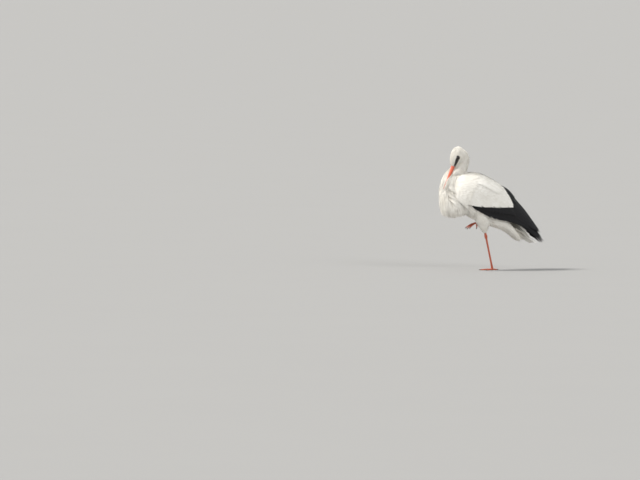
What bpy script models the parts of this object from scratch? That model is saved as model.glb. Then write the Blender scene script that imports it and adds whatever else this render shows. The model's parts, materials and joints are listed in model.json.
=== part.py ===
"""White stork (Ciconia ciconia), life size, resting on its left leg with the neck drawn in and the bill laid on the
breast. Metres, +Z up, the bird faces -Y and its left side is +X. Each sub-part is one closed solid out to the tips of
its feathers. The model is a still figure, so nothing moves. Run it with blender --background --python part.py."""

import math

import bmesh
import bpy
import numpy as np
from mathutils import Matrix, Vector

# ---- driving dimensions -------------------------------------------------------------------------------------------
BILL_LENGTH = 0.160  # from the feather edge to the tip
BILL_DEPTH = 0.026
BILL_WIDTH = 0.0205
HEAD_LENGTH = 0.100  # feather edge at the bill to the back of the skull
TARSUS_LENGTH = 0.200
TARSUS_DEPTH = 0.0115
TARSUS_WIDTH = 0.0095
EYE_RADIUS = 0.0070
MIDDLE_TOE = 0.078
TOE_SHARES = {"inner": 0.76, "middle": 1.0, "outer": 0.84, "hind": 0.40}
TOE_TURNS = {"inner": -36.0, "middle": 0.0, "outer": 34.0, "hind": 180.0}  # degrees from straight ahead
TOE_HANGS = {  # the lifted foot: droop and curl of each toe in degrees, and how far it spreads to the right
    "inner": (22.0, 34.0, -13.0),
    "middle": (16.0, 28.0, 0.0),
    "outer": (22.0, 36.0, 13.0),
    "hind": (112.0, 20.0, 0.0),
}
TOE_DEPTH = 0.0095
TOE_WIDTH = 0.0105
CLAW_LENGTH = 0.0095
FLOOR = 0.0
GAP = 0.0004  # clearance that parts each solid from the next
FLESH_TRIANGLES = 1300
VOXEL = 0.0075
WING_RINGS = 13
WING_COLUMNS = 8
TAIL_WIDTH = 0.120

# ---- landmarks: (x, y, z) with x to the bird's left, y to its tail and z up from the floor -------------------------
BILL_BASE = Vector((0.006, -0.215, 0.631))
BILL_TIP_ASIDE = 0.026  # the bill lies a little to the left of the midline
BILL_TIP_AHEAD = 0.074
HEAD_TURN = 4.0  # degrees to the left
WRIST = Vector((0.0, -0.190, 0.450))  # front end of the folded wings' axis, on the midline
WING_PITCH = 27.0  # degrees that the folded wings slope down to the tail
TAIL_ROOT = Vector((0.0, 0.130, 0.301))
TAIL_TIP = Vector((0.0, 0.335, 0.162))
LEFT_KNEE = Vector((0.052, -0.060, 0.390))
LEFT_ANKLE = Vector((0.018, -0.003, 0.204))
LEFT_FOOT_ASIDE = -0.004
LEFT_FOOT_HEIGHT = 0.0125
RIGHT_KNEE = Vector((-0.050, -0.052, 0.362))
RIGHT_ANKLE = Vector((-0.044, 0.160, 0.256))
RIGHT_FOOT_HEIGHT = 0.283
RIGHT_FOOT_X = -0.036

# ---- the feathered thighs: share of the way from knee to ankle, half width and half depth
LEFT_THIGH = (
    (0.0, 0.044, 0.060),
    (0.32, 0.038, 0.052),
    (0.58, 0.028, 0.038),
    (0.74, 0.018, 0.025),
    (0.83, 0.011, 0.014),
)
RIGHT_THIGH = (
    (0.0, 0.044, 0.056),
    (0.30, 0.036, 0.046),
    (0.58, 0.024, 0.026),
    (0.74, 0.013, 0.014),
    (0.82, 0.009, 0.009),
)

MATERIALS = {  # colour, roughness
    "white_plumage": ((0.86, 0.85, 0.81), 0.85),
    "black_plumage": ((0.018, 0.018, 0.022), 0.45),
    "body_flesh": ((0.84, 0.83, 0.79), 0.85),  # trunk and thighs, under the same white feathers
    "red_horn": ((0.62, 0.10, 0.05), 0.40),
    "red_leg": ((0.60, 0.13, 0.07), 0.55),
    "dark_claw": ((0.07, 0.05, 0.04), 0.45),
    "eye": ((0.02, 0.015, 0.012), 0.08),
}


# ---- helpers ------------------------------------------------------------------------------------------------------
def clear_scene():
    for obj in list(bpy.data.objects):
        bpy.data.objects.remove(obj)


def make_materials():
    for name, (colour, roughness) in MATERIALS.items():
        material = bpy.data.materials.new(name)
        material.use_nodes = True
        shader = material.node_tree.nodes["Principled BSDF"]
        shader.inputs["Base Color"].default_value = (*colour, 1.0)
        shader.inputs["Roughness"].default_value = roughness
        shader.inputs["Metallic"].default_value = 0.0


def new_object(name, bm, material=None, smooth=True):
    """Closes the bmesh into an object whose faces point out."""
    bmesh.ops.recalc_face_normals(bm, faces=bm.faces)
    mesh = bpy.data.meshes.new(name)
    bm.to_mesh(mesh)
    bm.free()
    if smooth:
        mesh.shade_smooth()
    if material:
        mesh.materials.append(bpy.data.materials[material])
    obj = bpy.data.objects.new(name, mesh)
    bpy.context.scene.collection.objects.link(obj)
    return obj


def spline(rows, steps):
    """A smooth (Catmull-Rom) run through the rows, with this many steps between each two of them."""
    rows = np.array(rows, float)
    ends = np.vstack([2 * rows[0] - rows[1], rows, 2 * rows[-1] - rows[-2]])
    out = []
    for i in range(1, len(ends) - 2):
        a, b, c, d = ends[i - 1 : i + 3]
        for t in np.arange(steps) / steps:
            out.append(
                0.5 * (2 * b + (c - a) * t + (2 * a - 5 * b + 4 * c - d) * t**2 + (3 * b - a - 3 * c + d) * t**3)
            )
    out.append(rows[-1])
    return np.array(out)


def smoothstep(t):
    t = min(1.0, max(0.0, t))
    return t * t * (3 - 2 * t)


def round_off(rows, reach, rings=3, start=True, end=True):
    """Adds rings past the ends of a run of (x, y, z, wide, deep) that close it like the end of an egg."""
    rows = np.array(rows, float)
    for at_end in (False, True):
        if not (end if at_end else start):
            continue
        last, before = (rows[-1], rows[-2]) if at_end else (rows[0], rows[1])
        out = last[:3] - before[:3]
        out /= np.linalg.norm(out)
        caps = []
        for k in range(1, rings + 1):
            angle = 0.5 * math.pi * k / (rings + 0.6)
            caps.append([*(last[:3] + out * reach * math.sin(angle)), *(last[3:] * math.cos(angle))])
        rows = np.vstack([rows, caps]) if at_end else np.vstack([caps[::-1], rows])
    return rows


def loft(name, rows, sides, material=None, square=2.0, side=Vector((1, 0, 0)), flat_under=None, grow=0.0):
    """A closed solid through rings of (x, y, z, half width, half depth). square above 2 makes the rings boxier. grow
    moves its surface out, to cut room for the same solid."""
    rows = np.array(rows, float)
    if grow:
        ends = rows[[0, -1], :3] - rows[[1, -2], :3]
        rows[[0, -1], :3] += ends / np.linalg.norm(ends, axis=1)[:, None] * grow
        rows[:, 3:] += grow
    bm = bmesh.new()
    rings = []
    for i, row in enumerate(rows):
        ahead = Vector(rows[min(i + 1, len(rows) - 1), :3] - rows[max(i - 1, 0), :3]).normalized()
        across = (side - ahead * side.dot(ahead)).normalized()
        deep = ahead.cross(across)
        ring = []
        for k in range(sides):
            angle = 2 * math.pi * (k + 0.5) / sides
            c, s = math.cos(angle), math.sin(angle)
            c = math.copysign(abs(c) ** (2 / square), c)
            s = math.copysign(abs(s) ** (2 / square), s)
            point = Vector(row[:3]) + across * (row[3] * c) + deep * (row[4] * s)
            if flat_under is not None:
                point.z = max(point.z, flat_under)
            ring.append(bm.verts.new(point))
        rings.append(ring)
    for one, two in zip(rings, rings[1:]):
        for k in range(sides):
            bm.faces.new((one[k], one[(k + 1) % sides], two[(k + 1) % sides], two[k]))
    bm.faces.new(rings[0])
    bm.faces.new(rings[-1])
    return new_object(name, bm, material)


def slab_through(name, grid, material=None):
    """A closed slab from a grid of (outer point, inner point)."""
    bm = bmesh.new()
    verts = [[(bm.verts.new(outer), bm.verts.new(inner)) for outer, inner in row] for row in grid]
    for one, two in zip(verts, verts[1:]):
        for k in range(len(one) - 1):
            corners = [one[k], one[k + 1], two[k + 1], two[k]]
            bm.faces.new([c[0] for c in corners])
            bm.faces.new([c[1] for c in reversed(corners)])
    rim = verts[0] + [row[-1] for row in verts[1:]] + verts[-1][-2::-1] + [row[0] for row in verts[-2:0:-1]]
    for one, two in zip(rim, rim[1:] + rim[:1]):
        bm.faces.new((one[0], one[1], two[1], two[0]))
    return new_object(name, bm, material)


def apply_modifiers(obj):
    graph = bpy.context.evaluated_depsgraph_get()
    mesh = bpy.data.meshes.new_from_object(obj.evaluated_get(graph))
    obj.modifiers.clear()
    obj.data = mesh
    return obj


def boolean(obj, other, operation, keep=False):
    modifier = obj.modifiers.new(operation.title(), "BOOLEAN")
    modifier.operation = operation
    modifier.object = other
    apply_modifiers(obj)
    if not keep:
        bpy.data.objects.remove(other)
    return obj


def cut(obj, *cutters):
    for cutter in cutters:
        boolean(obj, cutter, "DIFFERENCE")
    return obj


def slab(centre, size, turn=None):
    """A box to part solids with. turn is a 3x3 matrix."""
    bm = bmesh.new()
    bmesh.ops.create_cube(bm, size=1.0)
    place = Matrix.Translation(centre) @ (turn or Matrix.Identity(3)).to_4x4() @ Matrix.Diagonal((*size, 1.0))
    bmesh.ops.transform(bm, matrix=place, verts=bm.verts)
    return new_object("cutter", bm)


def copy_of(obj, name):
    other = obj.copy()
    other.data = obj.data.copy()
    other.name = name
    bpy.context.scene.collection.objects.link(other)
    return other


def part_off(rest, name, centre, size, turn=None):
    """Takes what lies in the box out of rest as a new object, and leaves a thin cut between the two."""
    piece = boolean(copy_of(rest, name), slab(centre, size, turn), "INTERSECT")
    boolean(rest, slab(centre, [s + 2 * GAP for s in size], turn), "DIFFERENCE")
    return piece


def paint(obj, material):
    obj.data.materials.clear()
    obj.data.materials.append(bpy.data.materials[material])
    for face in obj.data.polygons:
        face.material_index = 0
    return obj


# ---- head and bill ------------------------------------------------------------------------------------------------
def head_frame():
    """(along, crown, side): unit vectors from the bill's tip to its base, to the crown, and to the left of the head."""
    drop = math.sqrt(BILL_LENGTH**2 - BILL_TIP_AHEAD**2 - (BILL_TIP_ASIDE - BILL_BASE.x) ** 2)
    tip = BILL_BASE + Vector((BILL_TIP_ASIDE - BILL_BASE.x, -BILL_TIP_AHEAD, -drop))
    along = (BILL_BASE - tip).normalized()
    turn = math.radians(HEAD_TURN)
    side = Vector((math.cos(turn), math.sin(turn), 0))
    side = (side - along * side.dot(along)).normalized()
    return along, side.cross(along), side


def head_point(along_by, crown_by=0.0, side_by=0.0):
    along, crown, side = head_frame()
    return BILL_BASE + along * along_by + crown * crown_by + side * side_by


def head_stations():
    """Rings from the feather edge at the bill to the back of the skull."""
    shape = [  # share of the head's length, centre towards the crown, half width, half depth
        (-0.07, 0.000, 0.0130, 0.0160),
        (0.06, 0.002, 0.0180, 0.0210),
        (0.24, 0.004, 0.0250, 0.0285),
        (0.44, 0.005, 0.0310, 0.0350),
        (0.66, 0.003, 0.0350, 0.0400),
        (0.90, -0.001, 0.0345, 0.0400),
        (1.06, -0.006, 0.0255, 0.0310),
    ]
    rows = [[*head_point(s * HEAD_LENGTH, up), wide, deep] for s, up, wide, deep in shape]
    return round_off(spline(rows, 2), 0.012, start=False)


def bill_form(name, grow=0.0):
    rows = []
    for t in np.linspace(0, 1, 9):
        reach = 0.016 - t * (BILL_LENGTH + 0.016)
        narrow = (1 - t) ** 0.80 * (0.94 if t else 1.0) + 0.045
        droop = 0.0010 * math.sin(math.pi * t)
        rows.append([*head_point(reach, -droop), 0.5 * BILL_WIDTH * narrow, 0.5 * BILL_DEPTH * narrow])
    return loft(name, rows, 14, "red_horn", square=2.2, side=head_frame()[2], grow=grow)


def bill_half(name, upper):
    """One mandible: a tapering D in section, with its flat side on the line where the bill closes."""
    obj = bill_form(name)
    along, crown, _ = head_frame()
    bm = bmesh.new()
    bm.from_mesh(obj.data)
    normal = crown if upper else -crown
    parted = bmesh.ops.bisect_plane(
        bm,
        geom=bm.verts[:] + bm.edges[:] + bm.faces[:],
        plane_co=head_point(0, -0.0012) + normal * 0.5 * GAP,
        plane_no=normal,
        clear_inner=True,
    )
    edges = [e for e in parted["geom_cut"] if isinstance(e, bmesh.types.BMEdge)]
    bmesh.ops.holes_fill(bm, edges=edges)
    bpy.data.objects.remove(obj)
    return new_object(name, bm, "red_horn")


def eye(name, side, grow=0.0):
    bm = bmesh.new()
    bmesh.ops.create_uvsphere(bm, u_segments=12, v_segments=6, radius=EYE_RADIUS + grow)
    spot = head_point(0.43 * HEAD_LENGTH, 0.006, side * 0.0262)
    bmesh.ops.translate(bm, verts=bm.verts, vec=spot)
    return new_object(name, bm, "eye")


# ---- neck, trunk and vent: the feathered outline -------------------------------------------------------------------
def neck_stations():
    rows = [  # x, y, z, half width, half depth: from inside the head over the nape, then down the drawn-in neck
        (0.000, -0.184, 0.684, 0.031, 0.034),
        (-0.002, -0.162, 0.694, 0.036, 0.040),
        (-0.004, -0.145, 0.664, 0.039, 0.039),
        (-0.007, -0.158, 0.620, 0.043, 0.043),
        (-0.017, -0.178, 0.578, 0.063, 0.060),
        (-0.020, -0.199, 0.530, 0.074, 0.077),
        (-0.014, -0.209, 0.474, 0.077, 0.085),
        (-0.004, -0.212, 0.420, 0.077, 0.087),
        (-0.002, -0.212, 0.368, 0.070, 0.080),
    ]
    return round_off(spline(rows, 3), 0.034)


def trunk_stations():
    rows = [  # from the breast to the rump
        (0.0, -0.225, 0.440, 0.060, 0.075),
        (0.0, -0.165, 0.450, 0.088, 0.106),
        (0.0, -0.090, 0.450, 0.106, 0.130),
        (0.0, 0.000, 0.430, 0.112, 0.132),
        (0.0, 0.085, 0.402, 0.100, 0.115),
        (0.0, 0.150, 0.370, 0.080, 0.085),
        (0.0, 0.215, 0.325, 0.052, 0.055),
        (0.0, 0.265, 0.270, 0.030, 0.028),
    ]
    return round_off(spline(rows, 3), 0.020)


def mantle_stations():
    """The feathers between the shoulders, from the foot of the neck."""
    rows = [
        (0.0, -0.165, 0.535, 0.050, 0.045),
        (0.0, -0.110, 0.552, 0.064, 0.040),
        (0.0, -0.050, 0.550, 0.070, 0.036),
    ]
    return round_off(spline(rows, 3), 0.030)


def vent_stations():
    """The long soft feathers under the tail."""
    rows = [
        (0.014, -0.020, 0.350, 0.058, 0.060),
        (0.014, 0.045, 0.318, 0.056, 0.062),
        (0.012, 0.095, 0.292, 0.050, 0.050),
        (0.006, 0.150, 0.250, 0.044, 0.032),
        (0.004, 0.208, 0.192, 0.032, 0.020),
    ]
    return round_off(spline(rows, 3), 0.022)


def make_flesh():
    """Head, neck and trunk as one smooth body. The remesh melts the overlapping forms into one skin."""
    forms = [
        loft("head_form", head_stations(), 20, side=head_frame()[2]),
        loft("neck_form", neck_stations(), 24, square=2.3),
        loft("trunk_form", trunk_stations(), 28, square=2.15),
        loft("mantle_form", mantle_stations(), 20),
        loft("vent_form", vent_stations(), 20),
    ]
    bm = bmesh.new()
    for form in forms:
        bm.from_mesh(form.data)
        bpy.data.objects.remove(form)
    body = new_object("flesh", bm)
    remesh = body.modifiers.new("Remesh", "REMESH")
    remesh.mode = "VOXEL"
    remesh.voxel_size = VOXEL
    smooth = body.modifiers.new("Smooth", "SMOOTH")
    smooth.factor = 0.5
    smooth.iterations = 6
    apply_modifiers(body)
    count = sum(len(f.vertices) - 2 for f in body.data.polygons)
    decimate = body.modifiers.new("Decimate", "DECIMATE")
    decimate.ratio = FLESH_TRIANGLES / count
    return apply_modifiers(body)


def part_flesh(body):
    """Parts the body into head, neck, breast and trunk with thin cuts."""
    along, crown, side = head_frame()
    turn = Matrix((side, along, crown)).transposed()
    behind, front = 0.037, 0.12
    low, high = -0.012, 0.20
    centre = head_point((low + high) / 2, (front - behind) / 2)
    head = part_off(body, "head", centre, (0.30, high - low, front + behind), turn)
    neck = part_off(body, "neck", Vector((0, -0.15, 0.598 + 0.1)), (0.3, 0.3, 0.2))
    breast = part_off(body, "breast", Vector((0, -0.165 - 0.15, 0.44)), (0.4, 0.3, 0.5))
    body.name = "trunk"
    for piece in (head, neck, breast):
        paint(piece, "white_plumage")
    paint(body, "body_flesh")
    return head, neck, breast, body


# ---- wings --------------------------------------------------------------------------------------------------------
# Along the wing's axis from the wrist: distance, half width, height of the ridge and height of the section's centre.
WING_SECTIONS = spline(
    [
        (-0.030, 0.078, 0.140, 0.055),
        (0.030, 0.106, 0.176, 0.060),
        (0.100, 0.121, 0.190, 0.060),
        (0.200, 0.122, 0.190, 0.058),
        (0.280, 0.112, 0.190, 0.054),
        (0.360, 0.092, 0.161, 0.050),
        (0.440, 0.070, 0.134, 0.044),
        (0.520, 0.052, 0.098, 0.033),
        (0.580, 0.038, 0.070, 0.020),
        (0.640, 0.024, 0.040, 0.004),
    ],
    8,
)
# The space that the folded wing takes from the body: distance, upper and lower edge, and depth.
WING_SPACE = [
    (-0.020, 56.0, 96.0, 0.0100),
    (0.000, 26.0, 118.0, 0.0120),
    (0.040, 2.0, 140.0, 0.0225),
    (0.075, -4.0, 151.0, 0.0240),
    (0.180, -4.0, 152.0, 0.0205),
    (0.280, -4.0, 134.0, 0.0225),
    (0.320, -4.0, 129.0, 0.0250),
    (0.450, -4.0, 119.0, 0.0250),
    (0.540, -4.0, 122.0, 0.0240),
]
LAYER_DEPTHS = (0.0, 0.0075, 0.0097, 0.0160, 0.0186, 0.0232)  # outer and inner face of each layer, from the outside
# Each layer of the folded wing: the angles of its upper and lower edges round the body, in degrees from the ridge, at
# distances along the axis.
WING_LAYERS = {
    "coverts": {
        "depth": LAYER_DEPTHS[0:2],
        "edges": [
            (-0.014, 60.0, 92.0),
            (0.000, 30.0, 114.0),
            (0.040, 4.0, 128.0),
            (0.110, 2.5, 128.0),
            (0.190, 2.5, 108.0),
            (0.225, 26.0, 101.0),
            (0.265, 48.0, 91.0),
            (0.310, 60.0, 80.0),
            (0.332, 67.0, 72.0),
        ],
        "material": "white_plumage",
    },
    "secondaries": {
        "depth": LAYER_DEPTHS[2:4],
        "edges": [
            (0.048, 96.0, 138.0),
            (0.070, 50.0, 148.0),
            (0.120, 20.0, 149.0),
            (0.220, 2.5, 146.0),
            (0.290, 2.5, 131.0),
            (0.370, 2.5, 119.0),
            (0.450, 2.5, 109.0),
            (0.530, 3.0, 96.0),
            (0.580, 10.0, 74.0),
            (0.600, 30.0, 50.0),
        ],
        "material": "black_plumage",
    },
    "primaries": {
        "depth": LAYER_DEPTHS[4:6],
        "edges": [
            (0.300, 60.0, 96.0),
            (0.330, 40.0, 116.0),
            (0.400, 14.0, 117.0),
            (0.480, 8.0, 115.0),
            (0.560, 6.0, 126.0),
            (0.620, 12.0, 146.0),
            (0.646, 40.0, 132.0),
        ],
        "material": "black_plumage",
    },
}


def wing_point(side, reach, degrees, depth):
    """A point of the folded wing: reach along its axis, at this angle round from the ridge, this far under its face."""
    wide, ridge, centre = (np.interp(reach, WING_SECTIONS[:, 0], WING_SECTIONS[:, k]) for k in (1, 2, 3))
    angle = math.radians(degrees)
    high = ridge - centre
    if degrees <= 90:
        out, up = wide * math.sin(angle), high * math.cos(angle)
    else:  # below its widest line the wing hangs down and curls in less
        out, up = wide * (1 - 0.46 * (1 - math.sin(angle))), high * math.cos(angle)
    inward = Vector((out / wide**2, up / high**2)).normalized()
    shrink = depth * min(1.0, (wide - 0.004) / 0.030)
    out -= inward.x * shrink
    up -= inward.y * shrink
    pitch = math.radians(WING_PITCH)
    ahead = Vector((0, math.cos(pitch), -math.sin(pitch)))
    upward = Vector((0, math.sin(pitch), math.cos(pitch)))
    return WRIST + ahead * reach + upward * (centre + up) + Vector((side * out, 0, 0))


def wing_layer(name, side, layer):
    """One layer of a folded wing, a curved slab that tapers at its edges."""
    spec = WING_LAYERS[layer]
    edges = spline(spec["edges"], 6)
    first, last = edges[0, 0], edges[-1, 0]
    outer, inner = spec["depth"]
    grid = []
    for reach in np.linspace(first, last, WING_RINGS):
        top, bottom = (np.interp(reach, edges[:, 0], edges[:, k]) for k in (1, 2))
        end = min(reach - first, last - reach) / (last - first)
        row = []
        for share in np.linspace(0, 1, WING_COLUMNS):
            rim = min(1.0, 0.34 + 2.6 * min(share, 1 - share)) * min(1.0, 0.30 + 5.0 * end)
            under = outer + max(0.0012, (inner - outer) * rim)
            degrees = top + (bottom - top) * share
            row.append((wing_point(side, reach, degrees, outer), wing_point(side, reach, degrees, under)))
        grid.append(row)
    return slab_through(name, grid, spec["material"])


def wing_space(side):
    """A cutter for the room that a folded wing takes."""
    grid = []
    for reach, top, bottom, depth in spline(WING_SPACE, 2):
        angles = np.linspace(top, bottom, WING_COLUMNS + 1)
        row = [(wing_point(side, reach, a, -0.020), wing_point(side, reach, a, depth)) for a in angles]
        grid.append(row)
    return slab_through("cutter", grid)


# ---- tail ---------------------------------------------------------------------------------------------------------
def make_tail(name, grow=0.0):
    """The closed tail: a shallow roof of feathers, square at the end."""
    axis = TAIL_TIP - TAIL_ROOT
    ahead = axis.normalized()
    upward = ahead.cross(Vector((1, 0, 0)))
    grid = []
    for t in np.linspace(0, 1, 7):
        row = []
        for share in np.linspace(-1, 1, 7):
            wide = TAIL_WIDTH * (0.27 + 0.23 * smoothstep(t * 1.4)) + grow
            reach = axis.length * t * (1 - 0.055 * share**2) + grow * (2 * t - 1)
            drop = 0.012 * share**2 * (0.4 + 0.6 * t)
            thick = 0.5 * (0.010 - 0.0070 * t) * (1 - 0.55 * share**4) + 1.5 * grow
            middle = TAIL_ROOT + ahead * reach - upward * drop + Vector((share * wide, 0, 0))
            row.append((middle + upward * thick, middle - upward * thick))
        grid.append(row)
    return slab_through(name, grid, "white_plumage")


# ---- legs ---------------------------------------------------------------------------------------------------------
def left_foot():
    """Where the left tarsus ends, over its toes."""
    across = LEFT_FOOT_ASIDE - LEFT_ANKLE.x
    drop = LEFT_ANKLE.z - LEFT_FOOT_HEIGHT
    back = math.sqrt(TARSUS_LENGTH**2 - across**2 - drop**2)
    return Vector((LEFT_FOOT_ASIDE, LEFT_ANKLE.y + back, LEFT_FOOT_HEIGHT))


def right_foot():
    across = RIGHT_FOOT_X - RIGHT_ANKLE.x
    drop = RIGHT_FOOT_HEIGHT - RIGHT_ANKLE.z
    forward = math.sqrt(TARSUS_LENGTH**2 - across**2 - drop**2)
    return Vector((RIGHT_FOOT_X, RIGHT_ANKLE.y - forward, RIGHT_FOOT_HEIGHT))


def between(a, b, t):
    return a + (b - a) * t


def thigh(name, knee, ankle, sizes, grow=0.0):
    """The feathered drumstick, from inside the body down the shank. sizes holds share, half width and half depth."""
    rows = [[*between(knee, ankle, t), wide, deep] for t, wide, deep in sizes]
    return loft(name, round_off(spline(rows, 2), 0.010, rings=2), 14, "body_flesh", grow=grow)


def shank_forms(knee, ankle, foot, grow=0.0):
    """The bare lower shank, and the swollen joint that a person calls the knee."""
    shape = ((0.70, 0.0052, 0.0058), (0.86, 0.0052, 0.0058), (0.93, 0.0062, 0.0070), (0.995, 0.0074, 0.0084))
    bone = spline([[*between(knee, ankle, t), wide, deep] for t, wide, deep in shape], 2)
    shape = ((-0.045, 0.0062, 0.0070), (-0.015, 0.0080, 0.0094), (0.030, 0.0078, 0.0088), (0.085, 0.0056, 0.0064))
    joint = spline([[*between(ankle, foot, t), wide, deep] for t, wide, deep in shape], 2)
    joint = round_off(joint, 0.004, rings=2, end=False)
    return [loft("bone", bone, 10, grow=grow), loft("joint", joint, 10, grow=grow)]


def shank(name, knee, ankle, foot):
    bone, joint = shank_forms(knee, ankle, foot)
    boolean(bone, joint, "UNION")
    bone.name = name
    return paint(bone, "red_leg")


def tarsus(name, ankle, foot, grow=0.0):
    shape = ((0.0895, 1.18), (0.16, 1.0), (0.45, 0.94), (0.80, 0.98), (0.955, 1.16))
    rows = [[*between(ankle, foot, t), 0.5 * TARSUS_WIDTH * k, 0.5 * TARSUS_DEPTH * k] for t, k in shape]
    return loft(name, spline(rows, 2), 10, "red_leg", grow=grow)


def toe_form(start, heading, down, length, hang):
    """The rings of a toe that leaves start along heading and bends by hang degrees towards down, and how it ends."""
    knuckles = (1.10, 1.0, 0.86, 0.94, 0.78, 0.72, 0.58)
    rows, place, direction = [], start.copy(), heading
    for i, k in enumerate(knuckles):
        rows.append([*place, 0.5 * TOE_WIDTH * k, 0.5 * TOE_DEPTH * k])
        bend = math.radians(hang * i / (len(knuckles) - 1))
        direction = heading * math.cos(bend) + down * math.sin(bend)
        place = place + direction * (length / (len(knuckles) - 1))
    return np.array(rows), Vector(rows[-1][:3]), direction


def claw(name, tip, direction, down, bow, flat_under=None):
    """A short blunt claw that starts just past the toe's end."""
    rows, place = [], tip + direction * (GAP + 0.0022)
    for t in np.linspace(0, 1, 3):
        rows.append([*place, 0.0028 * (1 - t) ** 0.7 + 0.0005, 0.0026 * (1 - t) ** 0.7 + 0.0005])
        place = place + (direction + down * bow * t).normalized() * (CLAW_LENGTH / 2)
    loft(name, rows, 8, "dark_claw", side=direction.cross(down).normalized(), flat_under=flat_under)


def join_foot(name, toes, ankle, foot):
    """The toes and the hub that carries them, as one solid."""
    top = between(ankle, foot, 0.958)
    along = (foot - ankle).normalized()
    hub = [[*top, 0.0054, 0.0062], [*foot, 0.0064, 0.0070], [*(foot + along * 0.004), 0.0060, 0.0060]]
    solid = loft(name, round_off(hub, 0.002, rings=2, start=False), 10, "red_leg", flat_under=FLOOR)
    for toe in toes:
        boolean(solid, toe, "UNION")
    return paint(solid, "red_leg")


def standing_foot(ankle, foot):
    """Four toes flat on the floor and their claws."""
    down, toes = Vector((0, 0, -1)), []
    for toe, share in TOE_SHARES.items():
        turn = math.radians(TOE_TURNS[toe])
        heading = Vector((math.sin(turn), -math.cos(turn), 0))
        rows, tip, _ = toe_form(Vector((foot.x, foot.y, 0)), heading, down, MIDDLE_TOE * share, 0)
        rows[:, 2] = rows[:, 4] * 0.80  # sinks its underside a little, which flat_under makes a flat
        rows[0, 2] = foot.z - 0.004
        rows = round_off(rows, 0.002, rings=1, start=False)
        toes.append(loft("toe", rows, 8, side=heading.cross(down), flat_under=FLOOR))
        claw(f"claw_left_{toe}", Vector((tip.x, tip.y, 0.0031)), heading, down, 0.25, FLOOR + 0.0004)
    join_foot("foot_left", toes, ankle, foot)


def hanging_foot(ankle, foot):
    """The lifted foot: toes drooping together from the end of the tarsus, and their claws."""
    forward = (foot - ankle).normalized()
    down = (Vector((0, 0, -1)) - forward * -forward.z).normalized()
    toes = []
    for toe, share in TOE_SHARES.items():
        first, curl, spread = TOE_HANGS[toe]
        turn = math.radians(spread)
        ahead = (forward * math.cos(turn) - Vector((1, 0, 0)) * math.sin(turn)).normalized()
        angle = math.radians(first)
        heading = (ahead * math.cos(angle) + down * math.sin(angle)).normalized()
        fall = forward if toe == "hind" else (down - heading * down.dot(heading)).normalized()
        rows, tip, last = toe_form(foot + forward * 0.002, heading, fall, MIDDLE_TOE * share * 0.94, curl)
        rows = round_off(rows, 0.002, rings=1, start=False)
        toes.append(loft("toe", rows, 7, side=heading.cross(fall).normalized()))
        claw(f"claw_right_{toe}", tip, last, fall, 0.35)
    join_foot("foot_right", toes, ankle, foot)


# ---- the whole bird -----------------------------------------------------------------------------------------------
def stand_on_origin(objects):
    """Moves everything so that the middle of the bounding box is over the origin."""
    points = np.array([tuple(v.co) for obj in objects for v in obj.data.vertices])
    low, high = points.min(axis=0), points.max(axis=0)
    shift = Vector((-(low[0] + high[0]) / 2, -(low[1] + high[1]) / 2, -low[2]))
    for obj in objects:
        obj.data.transform(Matrix.Translation(shift))


def make_wings(flesh):
    """The folded wings, and the room they take from the body."""
    for side, word in ((1, "left"), (-1, "right")):
        for layer in WING_LAYERS:
            wing_layer(f"wing_{word}_{layer}", side, layer)
        cut(flesh, wing_space(side))


def make_leg(word, knee, ankle, foot, sizes, trunk):
    """Thigh, shank and tarsus, with room for each in what it grows from."""
    upper = thigh(f"thigh_{word}", knee, ankle, sizes)
    cut(trunk, thigh("cutter", knee, ankle, sizes, GAP))
    cut(upper, tarsus("cutter", ankle, foot, GAP))
    lower = tarsus(f"tarsus_{word}", ankle, foot)
    shank(f"shank_{word}", knee, ankle, foot)
    for piece in (upper, lower):
        cut(piece, *shank_forms(knee, ankle, foot, GAP))


def main():
    clear_scene()
    make_materials()
    flesh = make_flesh()
    make_wings(flesh)
    head, neck, breast, trunk = part_flesh(flesh)
    for name, upper in (("bill_upper", True), ("bill_lower", False)):
        bill_half(name, upper)
    for piece in (head, neck, breast):
        cut(piece, bill_form("cutter", GAP))
    for word, side in (("left", 1), ("right", -1)):
        eye(f"eye_{word}", side)
        cut(head, eye("cutter", side, GAP))
    make_tail("tail")
    cut(trunk, make_tail("cutter", GAP))

    left_end, right_end = left_foot(), right_foot()
    make_leg("left", LEFT_KNEE, LEFT_ANKLE, left_end, LEFT_THIGH, trunk)
    make_leg("right", RIGHT_KNEE, RIGHT_ANKLE, right_end, RIGHT_THIGH, trunk)
    standing_foot(LEFT_ANKLE, left_end)
    hanging_foot(RIGHT_ANKLE, right_end)
    stand_on_origin([obj for obj in bpy.data.objects if obj.type == "MESH"])


main()
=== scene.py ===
"""White stork at rest on one leg, life size, as a still museum model: one skin with scaled legs, feathers in
tracts over it, folded wings, tail, horn bill and claws, eyes, and a plain floor. Metres; the bird faces -Y
and its left side is +X. Shapes are worked out round the figure's own landmarks and moved by CENTRE when
their mesh is made."""

import json
import math

import bpy
import numpy as np
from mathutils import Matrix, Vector
from mathutils.bvhtree import BVHTree
from mathutils.kdtree import KDTree

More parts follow.
